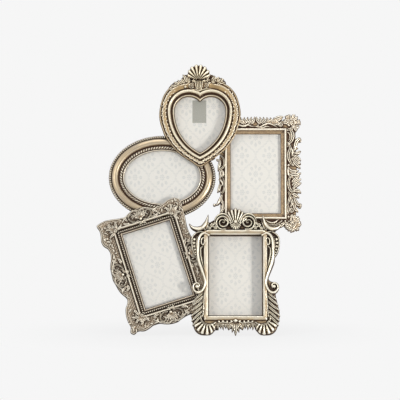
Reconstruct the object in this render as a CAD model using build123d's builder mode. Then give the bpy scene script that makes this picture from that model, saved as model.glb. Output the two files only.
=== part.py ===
from build123d import *
from bisect import bisect_left
from collections import namedtuple
from math import ceil, cos, hypot, pi, radians, sin, sqrt
import os

# Collage photo frame: five carved resin castings in one cluster, leaning back on an easel strut.
# Lengths are millimetres and angles are degrees.
# Every casting is laid out in its own face axes: across, up the face, and out from the common back.
# The castings sit back to back on one plane, and a casting in front laps over those behind it.

# Stance
lean_angle = 10.0
strut_open_angle = 26.0
floor_bite = 1.3

# Glazing, the same build-up in every frame
glass_thickness = 2.0
insert_thickness = 0.4
board_thickness = 3.3
board_recess = 0.3
glass_width = 102.0
glass_height = 152.0
glazing_play = 0.5
rebate_depth = glass_thickness + insert_thickness + board_thickness + board_recess
rebate_half_width = glass_width / 2 + glazing_play
rebate_half_height = glass_height / 2 + glazing_play

# How a front casting fits round a casting behind it
core_wall = 4.0
lap_clearance = 0.3
side_clearance = 0.5
cut_overrun = 5.0

# Heights of the castings in front of the common back
oval_top = 12.0
leaf_top = 14.0
tilted_top = 19.0
heart_top = 24.0
scroll_top = 26.0
sight_lip = 2.0
sight_level = rebate_depth + sight_lip

# Heart casting
heart_lobe_radius = 26.5
heart_lobe_spread = 20.5
heart_lobe_rise = 24.5
heart_tip_drop = 53.0
heart_tip_growth_share = 1.13
heart_lap = 3.0
heart_cove = 6.0
heart_bead = 6.0
heart_half_width = 75.0
heart_half_height = 80.0
heart_bead_step = 1.0
heart_band_step = 4.5
heart_bead_top = heart_top - heart_bead_step
heart_band_top = heart_top - heart_band_step
heart_outline_shares = [
    (0.00, -1.00), (0.25, -0.87), (0.60, -0.63), (0.81, -0.38), (0.93, -0.12), (1.00, 0.20),
    (0.96, 0.45), (0.86, 0.70), (0.68, 0.90), (0.38, 1.02), (0.00, 1.06),
]

# Crest of the heart casting: a scallop shell between a leaf and a flower cluster
shell_apex_rise = 84.0
shell_half_width = 20.0
shell_height = 27.0
shell_flutes = 8
shell_fan_angle = 150.0
crest_lobe_radius = 7.0
crest_lobe_shares = [
    (-0.86, 0.92), (-0.77, 0.98), (-0.66, 1.03), (-0.54, 1.03), (-0.42, 1.06), (-0.31, 1.12),
    (-0.13, 1.03), (0.02, 1.00), (0.14, 1.03), (0.30, 1.09), (0.42, 1.04), (0.55, 1.00), (0.66, 0.95),
]

# Oval casting
oval_sight_half_width = 70.0
oval_sight_half_height = 49.0
oval_lap = 4.0
oval_cove = 3.5
oval_rope = 6.0
oval_rope_level = 11.0
oval_band_half_width = 93.0
oval_band_half_height = 72.5
oval_band_width = 11.5
oval_band_round = 4.5
oval_rim_width = 5.5
oval_rim_level = 7.0
oval_tooth_depth = 1.2
oval_tooth_pitch = 3.2
oval_rim_steps = 2000

# Leaf casting, the upright frame on the right
leaf_sight_half_width = 46.0
leaf_sight_half_height = 73.5
leaf_cove = 9.0
leaf_bead = 3.5
leaf_left = 66.0
leaf_right = 77.0
leaf_bottom = 98.0
leaf_rise = 100.0
leaf_edge_level = 9.0
leaf_corner_level = 12.5
leaf_petal_length = 17.0
leaf_petal_width = 7.0
leaf_petal_pitch = 11.5
leaf_petal_slant = 48.0
leaf_corner_reach = 20.0
leaf_corner_petals = 7
leaf_corner_petal_width = 8.5
leaf_corner_spread = 220.0
leaf_corner_inset = 12.0

# Tilted casting, lower left
tilted_turn = 17.5
tilted_sight_half_width = 45.0
tilted_sight_half_height = 71.5
tilted_cove = 5.0
tilted_half_width = 87.0
tilted_half_height = 112.0
tilted_band_level = 16.0
tilted_bead_pitch = 6.0
tilted_bead_radius = 2.2
tilted_bead_line = 7.5
tilted_moulding_width = 13.0
tilted_moulding_step = 2.0
tilted_moulding_top = tilted_top - tilted_moulding_step
tilted_sprig_length = 15.5
tilted_sprig_width = 9.0
tilted_sprig_spread = 38.0
tilted_outline_shares = [
    (-0.99, 0.90), (-0.80, 0.95), (-0.52, 0.92), (-0.32, 0.92), (-0.20, 0.98), (0.00, 1.00),
    (0.20, 0.97), (0.34, 0.92), (0.52, 0.94), (0.71, 0.97), (0.87, 0.93), (0.89, 0.76),
    (0.85, 0.54), (0.85, 0.31), (0.92, 0.09), (0.92, -0.13), (0.85, -0.36), (0.86, -0.62),
    (0.90, -0.85), (0.86, -0.95), (0.69, -0.97), (0.44, -0.94), (0.23, -0.95), (0.03, -1.00),
    (-0.17, -0.97), (-0.37, -0.93), (-0.63, -0.96), (-0.82, -0.97), (-0.97, -0.98), (-0.95, -0.85),
    (-0.95, -0.67), (-0.87, -0.49), (-0.85, -0.36), (-0.94, -0.20), (-1.00, 0.00), (-0.97, 0.15),
    (-0.90, 0.34), (-0.90, 0.49), (-0.97, 0.66),
]
tilted_sprig_shares = [
    (-0.88, 0.83, 135.0), (-0.62, 0.80, 60.0), (-0.90, 0.55, 205.0), (-0.12, 0.86, 150.0),
    (0.12, 0.86, 30.0), (0.60, 0.84, 110.0), (0.76, 0.84, 45.0), (0.76, 0.50, -80.0),
    (-0.83, 0.12, 120.0), (-0.83, -0.10, -120.0), (-0.84, -0.62, 150.0), (-0.86, -0.84, 225.0),
    (-0.62, -0.85, -60.0), (-0.14, -0.86, 210.0), (0.16, -0.86, -30.0), (0.52, -0.84, 250.0),
]

# Scroll casting, lower right
scroll_sight_half_width = 48.5
scroll_sight_half_height = 73.0
scroll_cove = 5.0
scroll_foot_drop = 109.5
scroll_half_width = 81.0
scroll_back_level = 22.5
scroll_rail = 8.5
scroll_rail_step = 2.0
scroll_rail_top = scroll_top - scroll_rail_step
scroll_relief_root = 2.0
scroll_wing_shares = [
    (0.59, -0.75), (0.50, -0.88), (0.59, -0.97), (0.71, -1.00), (0.82, -0.97), (0.89, -0.90),
    (0.95, -0.80), (0.96, -0.69), (0.94, -0.59), (0.91, -0.45), (0.90, -0.36), (0.95, -0.20),
    (0.88, -0.08), (0.80, 0.01), (0.87, 0.09), (0.91, 0.19), (0.92, 0.31), (0.98, 0.40),
    (1.00, 0.52), (0.98, 0.64), (0.91, 0.76), (0.90, 0.82), (0.59, 0.84),
]
scroll_stroke_shares = [
    (0.62, 0.68), (0.74, 0.72), (0.82, 0.62), (0.82, 0.44), (0.84, 0.28), (0.76, 0.10),
    (0.68, -0.06), (0.70, -0.20), (0.78, -0.27),
]
scroll_stroke_width = 6.0
scroll_volute_radius = 8.0
scroll_volute_share = (0.83, -0.19)
scroll_foot_share = (0.62, -0.73)
scroll_flutes = 6
scroll_flute_start = -115.0
scroll_flute_spread = 130.0
scroll_flute_length = 30.0
scroll_flute_width = 7.0
scroll_pearl_radius = 2.6
scroll_pearl_shares = [(0.90, 0.60), (0.92, 0.53), (0.91, 0.46), (0.89, 0.39), (0.88, 0.33)]

# Crest of the scroll casting: a fan between two volutes, flowers and crescent horns
fan_foot_rise = 90.0
fan_half_width = 19.0
fan_height = 33.0
fan_flutes = 7
fan_open_angle = 140.0
crest_rise = 96.0
crest_half_width = 50.0
crest_volute_spread = 23.0
crest_volute_rise = 96.0
crest_volute_radius = 14.0
crest_volute_eye = 5.0
crest_flower_spread = 41.0
crest_flower_rise = 92.0
crest_flower_radius = 7.0
horn_outer_spread = 84.0
horn_outer_rise = 96.0
horn_inner_spread = 50.0
horn_inner_rise = 112.0
horn_upper_spread = 68.0
horn_upper_rise = 92.0
horn_lower_spread = 68.0
horn_lower_rise = 80.5

# Bottom garland of the scroll casting
garland_reach = 32.0
garland_sprays = 4
garland_spray_length = 19.0
garland_spray_width = 8.0
garland_spray_turn = -60.0
garland_pendant = 108.0
garland_pendant_width = 12.0

# Shapes that come back in several castings
petal_widest_share = 0.55
fan_flute_width_share = 2.3

# Where neighbours meet
heart_across = 0.0
oval_leaf_gap = 7.5
scroll_across = 65.0
tilted_rail_left = 15.3
oval_tilted_overlap = 23.0
oval_offset_share = 0.085
leaf_scroll_gap = 2.3
heart_oval_overlap = 59.7

# Hardware on the back
plate_length = 36.0
plate_width = 12.0
plate_thickness = 1.5
plate_screw_inset = 6.0
oval_plate_share = 0.14
heart_plate_share = 0.80
tilted_plate_share = 0.05
scroll_plate_share = 0.53
leaf_plate_share = 0.33
screw_radius = 1.4
screw_bite = 5.5
screw_head_radius = 2.8
screw_head_height = 1.1
screw_fit = 0.1
button_length = 19.0
button_width = 8.0
button_thickness = 1.2
button_gap = 0.3
button_bore_play = 0.1
button_edge_distance = 4.0
heart_button_turn = 45.0

# Easel strut
strut_across_share = 0.63
strut_pin_rise = 9.5
strut_pin_setback = 6.0
strut_pin_radius = 1.25
strut_pin_play = 0.1
strut_barrel_radius = 2.6
strut_leaf_thickness = 1.2
strut_leaf_length = 34.0
strut_leaf_width = 14.0
strut_ear_thickness = 1.5
strut_ear_play = 0.4
strut_ear_radius = 3.4
strut_plate_width = 30.0
strut_plate_drop = 7.5
strut_plate_rise = 7.0
strut_stop_play = 0.15
strut_leg_thickness = 3.0
strut_leg_top_width = 24.0
strut_leg_foot_width = 40.0
strut_leg_drop = 4.5
strut_rivet_radius = 1.6
strut_rivet_head = 2.8
strut_rivet_head_height = 0.7
strut_rivet_count = 3

Casting = namedtuple("Casting", "across rise turn")

out_of_face = Vector(0, -cos(radians(lean_angle)), sin(radians(lean_angle)))
up_face = Vector(0, sin(radians(lean_angle)), cos(radians(lean_angle)))


def level(casting, height):
    """Plane in a casting's own axes at a height in front of the common back."""
    origin = Vector(casting.across, 0, 0) + up_face * casting.rise + out_of_face * height
    sideways = Vector(cos(radians(casting.turn)), 0, 0) + up_face * sin(radians(casting.turn))
    return Plane(origin=origin, x_dir=sideways, z_dir=out_of_face)


def to_face(casting, across, rise):
    """Place of a casting's own point in the axes that all castings share."""
    turn = radians(casting.turn)
    return (
        casting.across + across * cos(turn) - rise * sin(turn),
        casting.rise + across * sin(turn) + rise * cos(turn),
    )


def layer(casting, outline, low, high, mode=Mode.ADD):
    """Extrude a flat outline of a casting between two heights, within the part being built."""
    with BuildSketch(level(casting, low)) as flat:
        add(outline)
    extrude(flat.sketch, amount=high - low, mode=mode)


def scaled(shares, half_width, half_height):
    return [(across * half_width, rise * half_height) for across, rise in shares]


def polar(angle, radius):
    return Vector(cos(radians(angle)), sin(radians(angle))) * radius


# Flat outlines, each in the axes of the casting that it belongs to


def heart_shape(grow):
    """Heart of the sight opening, grown outwards by an even amount."""
    radius = heart_lobe_radius + grow
    notch = (0, heart_lobe_rise + sqrt(radius**2 - heart_lobe_spread**2))
    top = (heart_lobe_spread, heart_lobe_rise + radius)
    side = (heart_lobe_spread + radius, heart_lobe_rise)
    tip = (0, -heart_tip_drop - grow * heart_tip_growth_share)
    with BuildSketch() as shape:
        with BuildLine():
            ThreePointArc(notch, top, side)
            TangentArc(side, tip, tangent=(0, -1))
            mirror(about=Plane.YZ)
        make_face()
    return shape.sketch


def oval_shape(grow):
    with BuildSketch() as shape:
        Ellipse(oval_sight_half_width + grow, oval_sight_half_height + grow)
    return shape.sketch


def box_shape(half_width, half_height):
    with BuildSketch() as shape:
        Rectangle(half_width * 2, half_height * 2)
    return shape.sketch


def leaf_sight(grow):
    return box_shape(leaf_sight_half_width + grow, leaf_sight_half_height + grow)


def tilted_sight(grow):
    return box_shape(tilted_sight_half_width + grow, tilted_sight_half_height + grow)


def scroll_sight(grow):
    return box_shape(scroll_sight_half_width + grow, scroll_sight_half_height + grow)


def rebate_shape(grow):
    return box_shape(rebate_half_width + grow, rebate_half_height + grow)


def span_shape(left, right, bottom, top):
    """Rectangle between four edges given outwards from the casting's centre."""
    with BuildSketch() as shape:
        with Locations(((right - left) / 2, (top - bottom) / 2)):
            Rectangle(right + left, top + bottom)
    return shape.sketch


def petals(places, length, width):
    """Pointed leaves of one size. Each place gives the foot and the way that the leaf points."""
    with BuildSketch() as single:
        with BuildLine():
            ThreePointArc((0, 0), (length * petal_widest_share, width / 2), (length, 0))
            ThreePointArc((length, 0), (length * petal_widest_share, -width / 2), (0, 0))
        make_face()
    with BuildSketch() as shape:
        with Locations(*[Location((across, rise, 0), (0, 0, turn)) for across, rise, turn in places]):
            add(single.sketch)
    return shape.sketch


def discs(centres, radius):
    with BuildSketch() as shape:
        with Locations(*centres):
            Circle(radius)
    return shape.sketch


def crescent(first, last, upper, lower):
    """Flat crescent between two arcs that share their ends."""
    with BuildSketch() as shape:
        with BuildLine():
            ThreePointArc(first, upper, last)
            ThreePointArc(last, lower, first)
        make_face()
    return shape.sketch


def closed_curve(points):
    with BuildSketch() as shape:
        with BuildLine():
            Spline(*points, periodic=True)
        make_face()
    return shape.sketch


def joined(outlines, within=None):
    """Several outlines as one, kept inside another outline where one is given."""
    with BuildSketch() as shape:
        add(outlines)
        if within is not None:
            add(within, mode=Mode.INTERSECT)
    return shape.sketch


def mirrored(outline):
    """An outline together with its mirror image across the casting's middle."""
    with BuildSketch() as shape:
        add(outline)
        mirror(outline, about=Plane.YZ)
    return shape.sketch


def fan(foot, half_width, height, count, open_angle):
    """Radiating flutes of a shell, with round ends along an elliptical rim."""
    outlines = []
    width = fan_flute_width_share * half_width * sin(radians(open_angle / 2)) / (count - 1)
    for index in range(count):
        angle = 90 + open_angle * (index / (count - 1) - 0.5)
        reach = hypot(cos(radians(angle)) * half_width, sin(radians(angle)) * height)
        outlines.append(petals([(*foot, angle)], reach, width))
        rim = Vector(*foot) + polar(angle, reach - width / 2)
        outlines.append(discs([(rim.X, rim.Y)], width / 2))
    return joined(outlines)


def toothed_oval(half_width, half_height, pitch, depth):
    """Ellipse edged with small teeth at an even pitch."""
    marks = [0.0]
    for index in range(oval_rim_steps):
        angle = 2 * pi * (index + 0.5) / oval_rim_steps
        pace = hypot(half_width * sin(angle), half_height * cos(angle))
        marks.append(marks[-1] + 2 * pi / oval_rim_steps * pace)
    count = 2 * ceil(marks[-1] / pitch / 2)
    points = []
    for index in range(2 * count):
        spot = bisect_left(marks, marks[-1] * index / (2 * count))
        angle = 2 * pi * spot / oval_rim_steps
        inset = depth * (index % 2)
        points.append((cos(angle) * (half_width - inset), sin(angle) * (half_height - inset)))
    with BuildSketch() as shape:
        with BuildLine():
            Polyline(*points, close=True)
        make_face()
    return shape.sketch


def bead_places(half_width, half_height, pitch):
    """Places of beads in a row along a rectangle."""
    places = []
    for step in range(-round(half_width / pitch), round(half_width / pitch)):
        along = half_width * step / round(half_width / pitch)
        places += [(along, half_height), (-along, -half_height)]
    for step in range(-round(half_height / pitch), round(half_height / pitch)):
        along = half_height * step / round(half_height / pitch)
        places += [(half_width, -along), (-half_width, along)]
    return places


# Places of the castings: the lower two stand on the floor, and each other one is set from its neighbours

scroll_rise = scroll_foot_drop - floor_bite
scroll = Casting(scroll_across, scroll_rise, 0.0)

tilted_points = scaled(tilted_outline_shares, tilted_half_width, tilted_half_height)
tilted_tilt = radians(tilted_turn)
tilted_drop = max(-across * sin(tilted_tilt) - rise * cos(tilted_tilt) for across, rise in tilted_points)
tilted_corner = rebate_half_width * cos(tilted_tilt) + rebate_half_height * sin(tilted_tilt)
core_half_width = rebate_half_width + core_wall
tilted_across = scroll_across - core_half_width - tilted_rail_left - tilted_corner
tilted = Casting(tilted_across, tilted_drop - floor_bite, tilted_turn)

oval_half_width = oval_band_half_width + oval_rim_width
oval_half_height = oval_band_half_height + oval_rim_width
tilted_crown = to_face(tilted, 0, tilted_half_height)
oval_rise = tilted_crown[1] + oval_half_height - oval_tilted_overlap
oval_across = tilted_across + oval_half_width * oval_offset_share
oval = Casting(oval_across, oval_rise, 0.0)

leaf_tip_reach = leaf_corner_reach - leaf_corner_inset
leaf_across = oval_across + oval_half_width + oval_leaf_gap + leaf_left
leaf_foot_rise = scroll_rise + rebate_half_height + core_wall + leaf_scroll_gap
leaf = Casting(leaf_across, leaf_foot_rise + leaf_tip_reach + leaf_bottom, 0.0)

heart_rise = oval_rise + oval_half_height + heart_half_height - heart_oval_overlap
heart = Casting(heart_across, heart_rise, 0.0)

# Screw places on the back: joining plates, turn buttons and the strut's bracket

Plate = namedtuple("Plate", "casting across rise turn")
plate_pitch = plate_length / 2 - plate_screw_inset
oval_edge = oval_half_height * sqrt(1 - oval_plate_share**2)
heart_leaf_spot = heart_plate_share * heart_half_width + heart_across - leaf_across
tilted_scroll_spot = -core_half_width - plate_pitch - screw_head_radius
plates = {
    "heart_oval_plate": Plate(oval, oval_half_width * oval_plate_share, oval_edge + screw_head_radius, 90.0),
    "heart_leaf_plate": Plate(leaf, heart_leaf_spot, leaf_rise + screw_head_radius, 90.0),
    "oval_tilted_plate": Plate(tilted, tilted_plate_share * tilted_half_width,
                               rebate_half_height + plate_width + core_wall / 2, 0.0),
    "tilted_scroll_plate": Plate(scroll, tilted_scroll_spot, scroll_plate_share * scroll_foot_drop, 0.0),
    "scroll_leaf_plate": Plate(leaf, leaf_plate_share * leaf_right, -leaf_bottom - screw_head_radius, 90.0),
}


def plate_ends(plate):
    """Places of a plate's two screws in the axes of the casting that it is set out from."""
    turned = polar(plate.turn, plate_pitch)
    return [(plate.across + side * turned.X, plate.rise + side * turned.Y) for side in (-1, 1)]


Button = namedtuple("Button", "casting across rise turn")
button_side = rebate_half_width + button_edge_distance
button_end = rebate_half_height + button_edge_distance
oval_button_side = oval_sight_half_width + oval_lap + button_edge_distance
heart_button_reach = heart_lobe_radius + heart_lap + button_edge_distance
heart_button_spot = Vector(heart_lobe_spread, heart_lobe_rise) + polar(heart_button_turn, heart_button_reach)
buttons = {
    "heart_button_left": Button(heart, -heart_button_spot.X, heart_button_spot.Y, -heart_button_turn),
    "heart_button_right": Button(heart, heart_button_spot.X, heart_button_spot.Y, 180 + heart_button_turn),
    "oval_button_left": Button(oval, -oval_button_side, 0, 0.0),
    "oval_button_right": Button(oval, oval_button_side, 0, 180.0),
    "leaf_button_top": Button(leaf, 0, button_end, -90.0),
    "leaf_button_bottom": Button(leaf, 0, -button_end, 90.0),
    "tilted_button_left": Button(tilted, -button_side, 0, 0.0),
    "tilted_button_right": Button(tilted, button_side, 0, 180.0),
    "scroll_button_top": Button(scroll, 0, button_end, -90.0),
    "scroll_button_bottom": Button(scroll, 0, -button_end, 90.0),
}

strut_across = -strut_across_share * scroll_half_width
strut_rise = rebate_half_height + strut_pin_rise
strut_screw_spread = strut_plate_width / 2 - screw_head_radius - screw_fit
strut_screw_spots = [(strut_across + side * strut_screw_spread, strut_rise) for side in (-1, 1)]


def spots_on(places, height):
    """Locations at a height, for places given as a casting and a point in its own axes."""
    return [level(casting, height).location * Location((*spot, 0)) for casting, spot in places]


plate_screw_places = [(plate.casting, spot) for plate in plates.values() for spot in plate_ends(plate)]
button_places = [(button.casting, (button.across, button.rise)) for button in buttons.values()]
strut_screw_places = [(scroll, spot) for spot in strut_screw_spots]
forward = (Align.CENTER, Align.CENTER, Align.MIN)
backward = (Align.CENTER, Align.CENTER, Align.MAX)

with BuildPart() as pilot_holes:
    with Locations(*spots_on(plate_screw_places + button_places + strut_screw_places, 0)):
        Cylinder(screw_radius + screw_fit, screw_bite + screw_fit, align=forward)

# What the castings give up for each other: a front casting keeps a full-depth wall round its rebate


with BuildSketch() as oval_footprint:
    Ellipse(oval_half_width + side_clearance, oval_half_height + side_clearance)
leaf_margin = leaf_tip_reach + side_clearance
leaf_footprint = span_shape(
    leaf_left + leaf_margin, leaf_right + leaf_margin, leaf_bottom + leaf_margin, leaf_rise + leaf_margin
)
tilted_footprint = closed_curve(
    scaled(tilted_outline_shares, tilted_half_width + side_clearance, tilted_half_height + side_clearance)
)
heart_core_grow = heart_lap + core_wall

with BuildPart() as heart_space:
    layer(oval, oval_footprint.sketch, -cut_overrun, oval_top + lap_clearance)
    layer(leaf, leaf_footprint, -cut_overrun, leaf_top + lap_clearance)
    layer(heart, heart_shape(heart_core_grow), -2 * cut_overrun, heart_top, Mode.SUBTRACT)
    layer(heart, heart_shape(heart_lap), -cut_overrun, rebate_depth)

with BuildPart() as oval_space:
    layer(heart, heart_shape(heart_core_grow + side_clearance), -cut_overrun, heart_top)
    layer(tilted, rebate_shape(core_wall + side_clearance), -cut_overrun, tilted_top)
    layer(oval, oval_shape(oval_lap), -cut_overrun, rebate_depth)

with BuildPart() as leaf_space:
    layer(heart, heart_shape(heart_core_grow + side_clearance), -cut_overrun, heart_top)
    layer(leaf, rebate_shape(0), -cut_overrun, rebate_depth)

with BuildPart() as tilted_space:
    layer(oval, oval_footprint.sketch, -cut_overrun, oval_top + lap_clearance)
    layer(tilted, rebate_shape(core_wall), -2 * cut_overrun, tilted_top, Mode.SUBTRACT)
    layer(tilted, rebate_shape(0), -cut_overrun, rebate_depth)
    layer(scroll, rebate_shape(core_wall + side_clearance), -cut_overrun, scroll_top)

with BuildPart() as scroll_space:
    layer(tilted, tilted_footprint, -cut_overrun, tilted_top + lap_clearance)
    layer(leaf, leaf_footprint, -cut_overrun, leaf_top + lap_clearance)
    layer(scroll, rebate_shape(core_wall), -2 * cut_overrun, scroll_top, Mode.SUBTRACT)
    layer(scroll, rebate_shape(0), -cut_overrun, rebate_depth)


def hollow(casting, shape, cove, low, top):
    """Cut the sight opening through the moulding being built, sloping outwards above its lip."""
    layer(casting, shape(0), low, sight_level, Mode.SUBTRACT)
    with BuildSketch(level(casting, sight_level)) as foot:
        add(shape(0))
    with BuildSketch(level(casting, top)) as head:
        add(shape(cove))
    loft(sections=[foot.sketch, head.sketch], ruled=True, mode=Mode.SUBTRACT)


def ringed(outline, opening):
    """An outline with an opening through it."""
    with BuildSketch() as shape:
        add(outline)
        add(opening, mode=Mode.SUBTRACT)
    return shape.sketch


# Heart casting: a smooth band, a bead round the sight and a crest of lobes under a scallop shell

heart_half = scaled(heart_outline_shares, heart_half_width, heart_half_height)
heart_outline = closed_curve(heart_half + [(-across, rise) for across, rise in heart_half[-2:0:-1]])
heart_shell = fan((0, shell_apex_rise), shell_half_width, shell_height, shell_flutes, shell_fan_angle)
crest_lobes = discs(scaled(crest_lobe_shares, heart_half_width, heart_half_height), crest_lobe_radius)

with BuildPart() as heart_moulding:
    layer(heart, heart_shape(heart_cove + heart_bead), 0, heart_bead_top)
    hollow(heart, heart_shape, heart_cove, 0, heart_bead_top)

with BuildPart() as heart_frame:
    layer(heart, ringed(joined([heart_outline, crest_lobes]), heart_shape(heart_cove)), 0, heart_band_top)
    layer(heart, heart_shell, 0, heart_top)
    add(heart_moulding.part)
    add([heart_space.part, pilot_holes.part], mode=Mode.SUBTRACT)

# Oval casting: toothed rim, smooth round band, groove and rope row

oval_outline = toothed_oval(oval_half_width, oval_half_height, oval_tooth_pitch, oval_tooth_depth)
oval_groove = ringed(oval_outline, oval_shape(oval_cove))

with BuildPart() as oval_band:
    with BuildSketch(level(oval, 0)):
        Ellipse(oval_band_half_width, oval_band_half_height)
        Ellipse(oval_band_half_width - oval_band_width, oval_band_half_height - oval_band_width,
                mode=Mode.SUBTRACT)
    extrude(amount=oval_top)
    band_face = faces().sort_by(Axis(level(oval, 0).origin, out_of_face))[-1]
    fillet(band_face.edges(), oval_band_round)

with BuildPart() as oval_moulding:
    layer(oval, oval_shape(oval_cove + oval_rope), 0, oval_rope_level)
    hollow(oval, oval_shape, oval_cove, 0, oval_rope_level)

with BuildPart() as oval_frame:
    layer(oval, oval_groove, 0, oval_rim_level)
    add([oval_band.part, oval_moulding.part])
    add([oval_space.part, pilot_holes.part], mode=Mode.SUBTRACT)

# Leaf casting: slanting leaves along every rail and a fan of petals on every corner


def rail_leaves(half_run, off, angle):
    """Places of leaves along one rail, leaning towards its middle. The angle is the rail's outward way."""
    places = []
    count = int(half_run / leaf_petal_pitch)
    for index in range(1, count + 1):
        for side in (-1, 1):
            foot = polar(angle, off) + polar(angle + 90, side * index * half_run / count)
            places.append((foot.X, foot.Y, angle - side * leaf_petal_slant))
    return places


def corner_petals(centre, angle):
    """Places of petals that radiate from a corner of the leaf casting."""
    steps = leaf_corner_petals - 1
    return [(*centre, angle + leaf_corner_spread * (index / steps - 0.5)) for index in range(steps + 1)]


leaf_foot_inset = leaf_petal_length / 2
leaf_right_corner = leaf_right - leaf_corner_inset
leaf_left_corner = leaf_left - leaf_corner_inset
leaf_top_corner = leaf_rise - leaf_corner_inset
leaf_bottom_corner = leaf_bottom - leaf_corner_inset
leaf_corner_centres = [
    (leaf_right_corner, leaf_top_corner),
    (-leaf_left_corner, leaf_top_corner),
    (-leaf_left_corner, -leaf_bottom_corner),
    (leaf_right_corner, -leaf_bottom_corner),
]
leaf_corner_places = []
for index, centre in enumerate(leaf_corner_centres):
    leaf_corner_places += corner_petals(centre, 45 + 90 * index)
leaf_upright_run = leaf_bottom_corner - leaf_corner_inset
leaf_cross_run = leaf_left_corner - leaf_corner_inset
leaf_rail_places = rail_leaves(leaf_upright_run, leaf_right - leaf_foot_inset, 0)
leaf_rail_places += rail_leaves(leaf_cross_run, leaf_rise - leaf_foot_inset, 90)
leaf_rail_places += rail_leaves(leaf_upright_run, leaf_left - leaf_foot_inset, 180)
leaf_rail_places += rail_leaves(leaf_cross_run, leaf_bottom - leaf_foot_inset, 270)
leaf_corner_outline = joined([
    petals(leaf_corner_places, leaf_corner_reach, leaf_corner_petal_width),
    discs(leaf_corner_centres, leaf_corner_inset),
])
leaf_base = span_shape(leaf_left, leaf_right, leaf_bottom, leaf_rise)
leaf_outline = joined([leaf_base, petals(leaf_rail_places, leaf_petal_length, leaf_petal_width)])

with BuildPart() as leaf_moulding:
    layer(leaf, leaf_sight(leaf_cove + leaf_bead), 0, leaf_top)
    hollow(leaf, leaf_sight, leaf_cove, 0, leaf_top)

with BuildPart() as leaf_frame:
    layer(leaf, ringed(leaf_outline, leaf_sight(leaf_cove)), 0, leaf_edge_level)
    layer(leaf, leaf_corner_outline, 0, leaf_corner_level)
    add(leaf_moulding.part)
    add([leaf_space.part, pilot_holes.part], mode=Mode.SUBTRACT)

# Tilted casting: shaped outline, a bead row round the sight and leaf sprigs in the corners

tilted_outline = closed_curve(tilted_points)
sprig_places = []
for across_share, rise_share, turn in tilted_sprig_shares:
    for spread in (-tilted_sprig_spread, 0, tilted_sprig_spread):
        foot = (across_share * tilted_half_width, rise_share * tilted_half_height)
        sprig_places.append((*foot, turn + spread))
tilted_sprigs = joined(petals(sprig_places, tilted_sprig_length, tilted_sprig_width), tilted_outline)
tilted_beads = discs(
    bead_places(
        tilted_sight_half_width + tilted_bead_line,
        tilted_sight_half_height + tilted_bead_line,
        tilted_bead_pitch,
    ),
    tilted_bead_radius,
)

with BuildPart() as tilted_moulding:
    layer(tilted, tilted_sight(tilted_moulding_width), 0, tilted_moulding_top)
    hollow(tilted, tilted_sight, tilted_cove, 0, tilted_moulding_top)

with BuildPart() as tilted_frame:
    layer(tilted, ringed(tilted_outline, tilted_sight(tilted_cove)), 0, tilted_band_level)
    layer(tilted, tilted_sprigs, 0, tilted_top)
    add(tilted_moulding.part)
    layer(tilted, tilted_beads, tilted_band_level, tilted_top)
    add([tilted_space.part, pilot_holes.part], mode=Mode.SUBTRACT)
    split(bisect_by=Plane.XY, keep=Keep.TOP)

# Scroll casting: a lyre of side scrolls on fluted feet, a shell crest above and a garland below

wing_points = scaled(scroll_wing_shares, scroll_half_width, scroll_foot_drop)
with BuildSketch() as scroll_wing:
    with BuildLine():
        Spline(*wing_points)
        Line(wing_points[-1], wing_points[0])
    make_face()

with BuildSketch() as scroll_stroke:
    with BuildLine() as stroke_line:
        Spline(*scaled(scroll_stroke_shares, scroll_half_width, scroll_foot_drop))
    trace(stroke_line.line, line_width=scroll_stroke_width)

foot_centre = (scroll_foot_share[0] * scroll_half_width, scroll_foot_share[1] * scroll_foot_drop)
flute_places = [
    (*foot_centre, scroll_flute_start + scroll_flute_spread * index / (scroll_flutes - 1))
    for index in range(scroll_flutes)
]
wing_relief = joined(
    [
        scroll_stroke.sketch,
        discs(scaled([scroll_volute_share], scroll_half_width, scroll_foot_drop), scroll_volute_radius),
        petals(flute_places, scroll_flute_length, scroll_flute_width),
        discs(scaled(scroll_pearl_shares, scroll_half_width, scroll_foot_drop), scroll_pearl_radius),
    ],
    scroll_wing.sketch,
)

crest_horn = crescent(
    (horn_inner_spread, horn_inner_rise),
    (horn_outer_spread, horn_outer_rise),
    (horn_upper_spread, horn_upper_rise),
    (horn_lower_spread, horn_lower_rise),
)
crest_side = [
    crest_horn,
    discs([(crest_volute_spread, crest_volute_rise)], crest_volute_radius),
    discs([(crest_flower_spread, crest_flower_rise)], crest_flower_radius),
]
crest_eyes = discs([(side * crest_volute_spread, crest_volute_rise) for side in (-1, 1)], crest_volute_eye)
crest_fan = fan((0, fan_foot_rise), fan_half_width, fan_height, fan_flutes, fan_open_angle)
crest_block = span_shape(crest_half_width, crest_half_width, 0, crest_rise)

garland_foot = rebate_half_height + core_wall / 2
spray_places = []
for index in range(garland_sprays):
    spray_across = garland_reach * (index + 1) / garland_sprays
    spray_places.append((spray_across, -garland_foot, garland_spray_turn))
    spray_places.append((-spray_across, -garland_foot, 180 - garland_spray_turn))
garland = joined([
    petals(spray_places, garland_spray_length, garland_spray_width),
    petals([(0, -garland_foot, -90)], garland_pendant - garland_foot, garland_pendant_width),
    discs([(0, -garland_foot - garland_pendant_width / 2)], garland_pendant_width / 2),
])
scroll_outline = joined([
    rebate_shape(core_wall),
    mirrored(scroll_wing.sketch),
    crest_block,
    mirrored(joined(crest_side)),
    garland,
])

scroll_relief = joined([mirrored(wing_relief), crest_fan, crest_eyes])

with BuildPart() as scroll_moulding:
    layer(scroll, scroll_sight(scroll_rail), 0, scroll_rail_top)
    hollow(scroll, scroll_sight, scroll_cove, 0, scroll_rail_top)

with BuildPart() as scroll_frame:
    layer(scroll, ringed(scroll_outline, scroll_sight(scroll_cove)), 0, scroll_back_level)
    layer(scroll, scroll_relief, scroll_back_level - scroll_relief_root, scroll_top)
    add(scroll_moulding.part)
    add([scroll_space.part, pilot_holes.part], mode=Mode.SUBTRACT)
    split(bisect_by=Plane.XY, keep=Keep.TOP)

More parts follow.
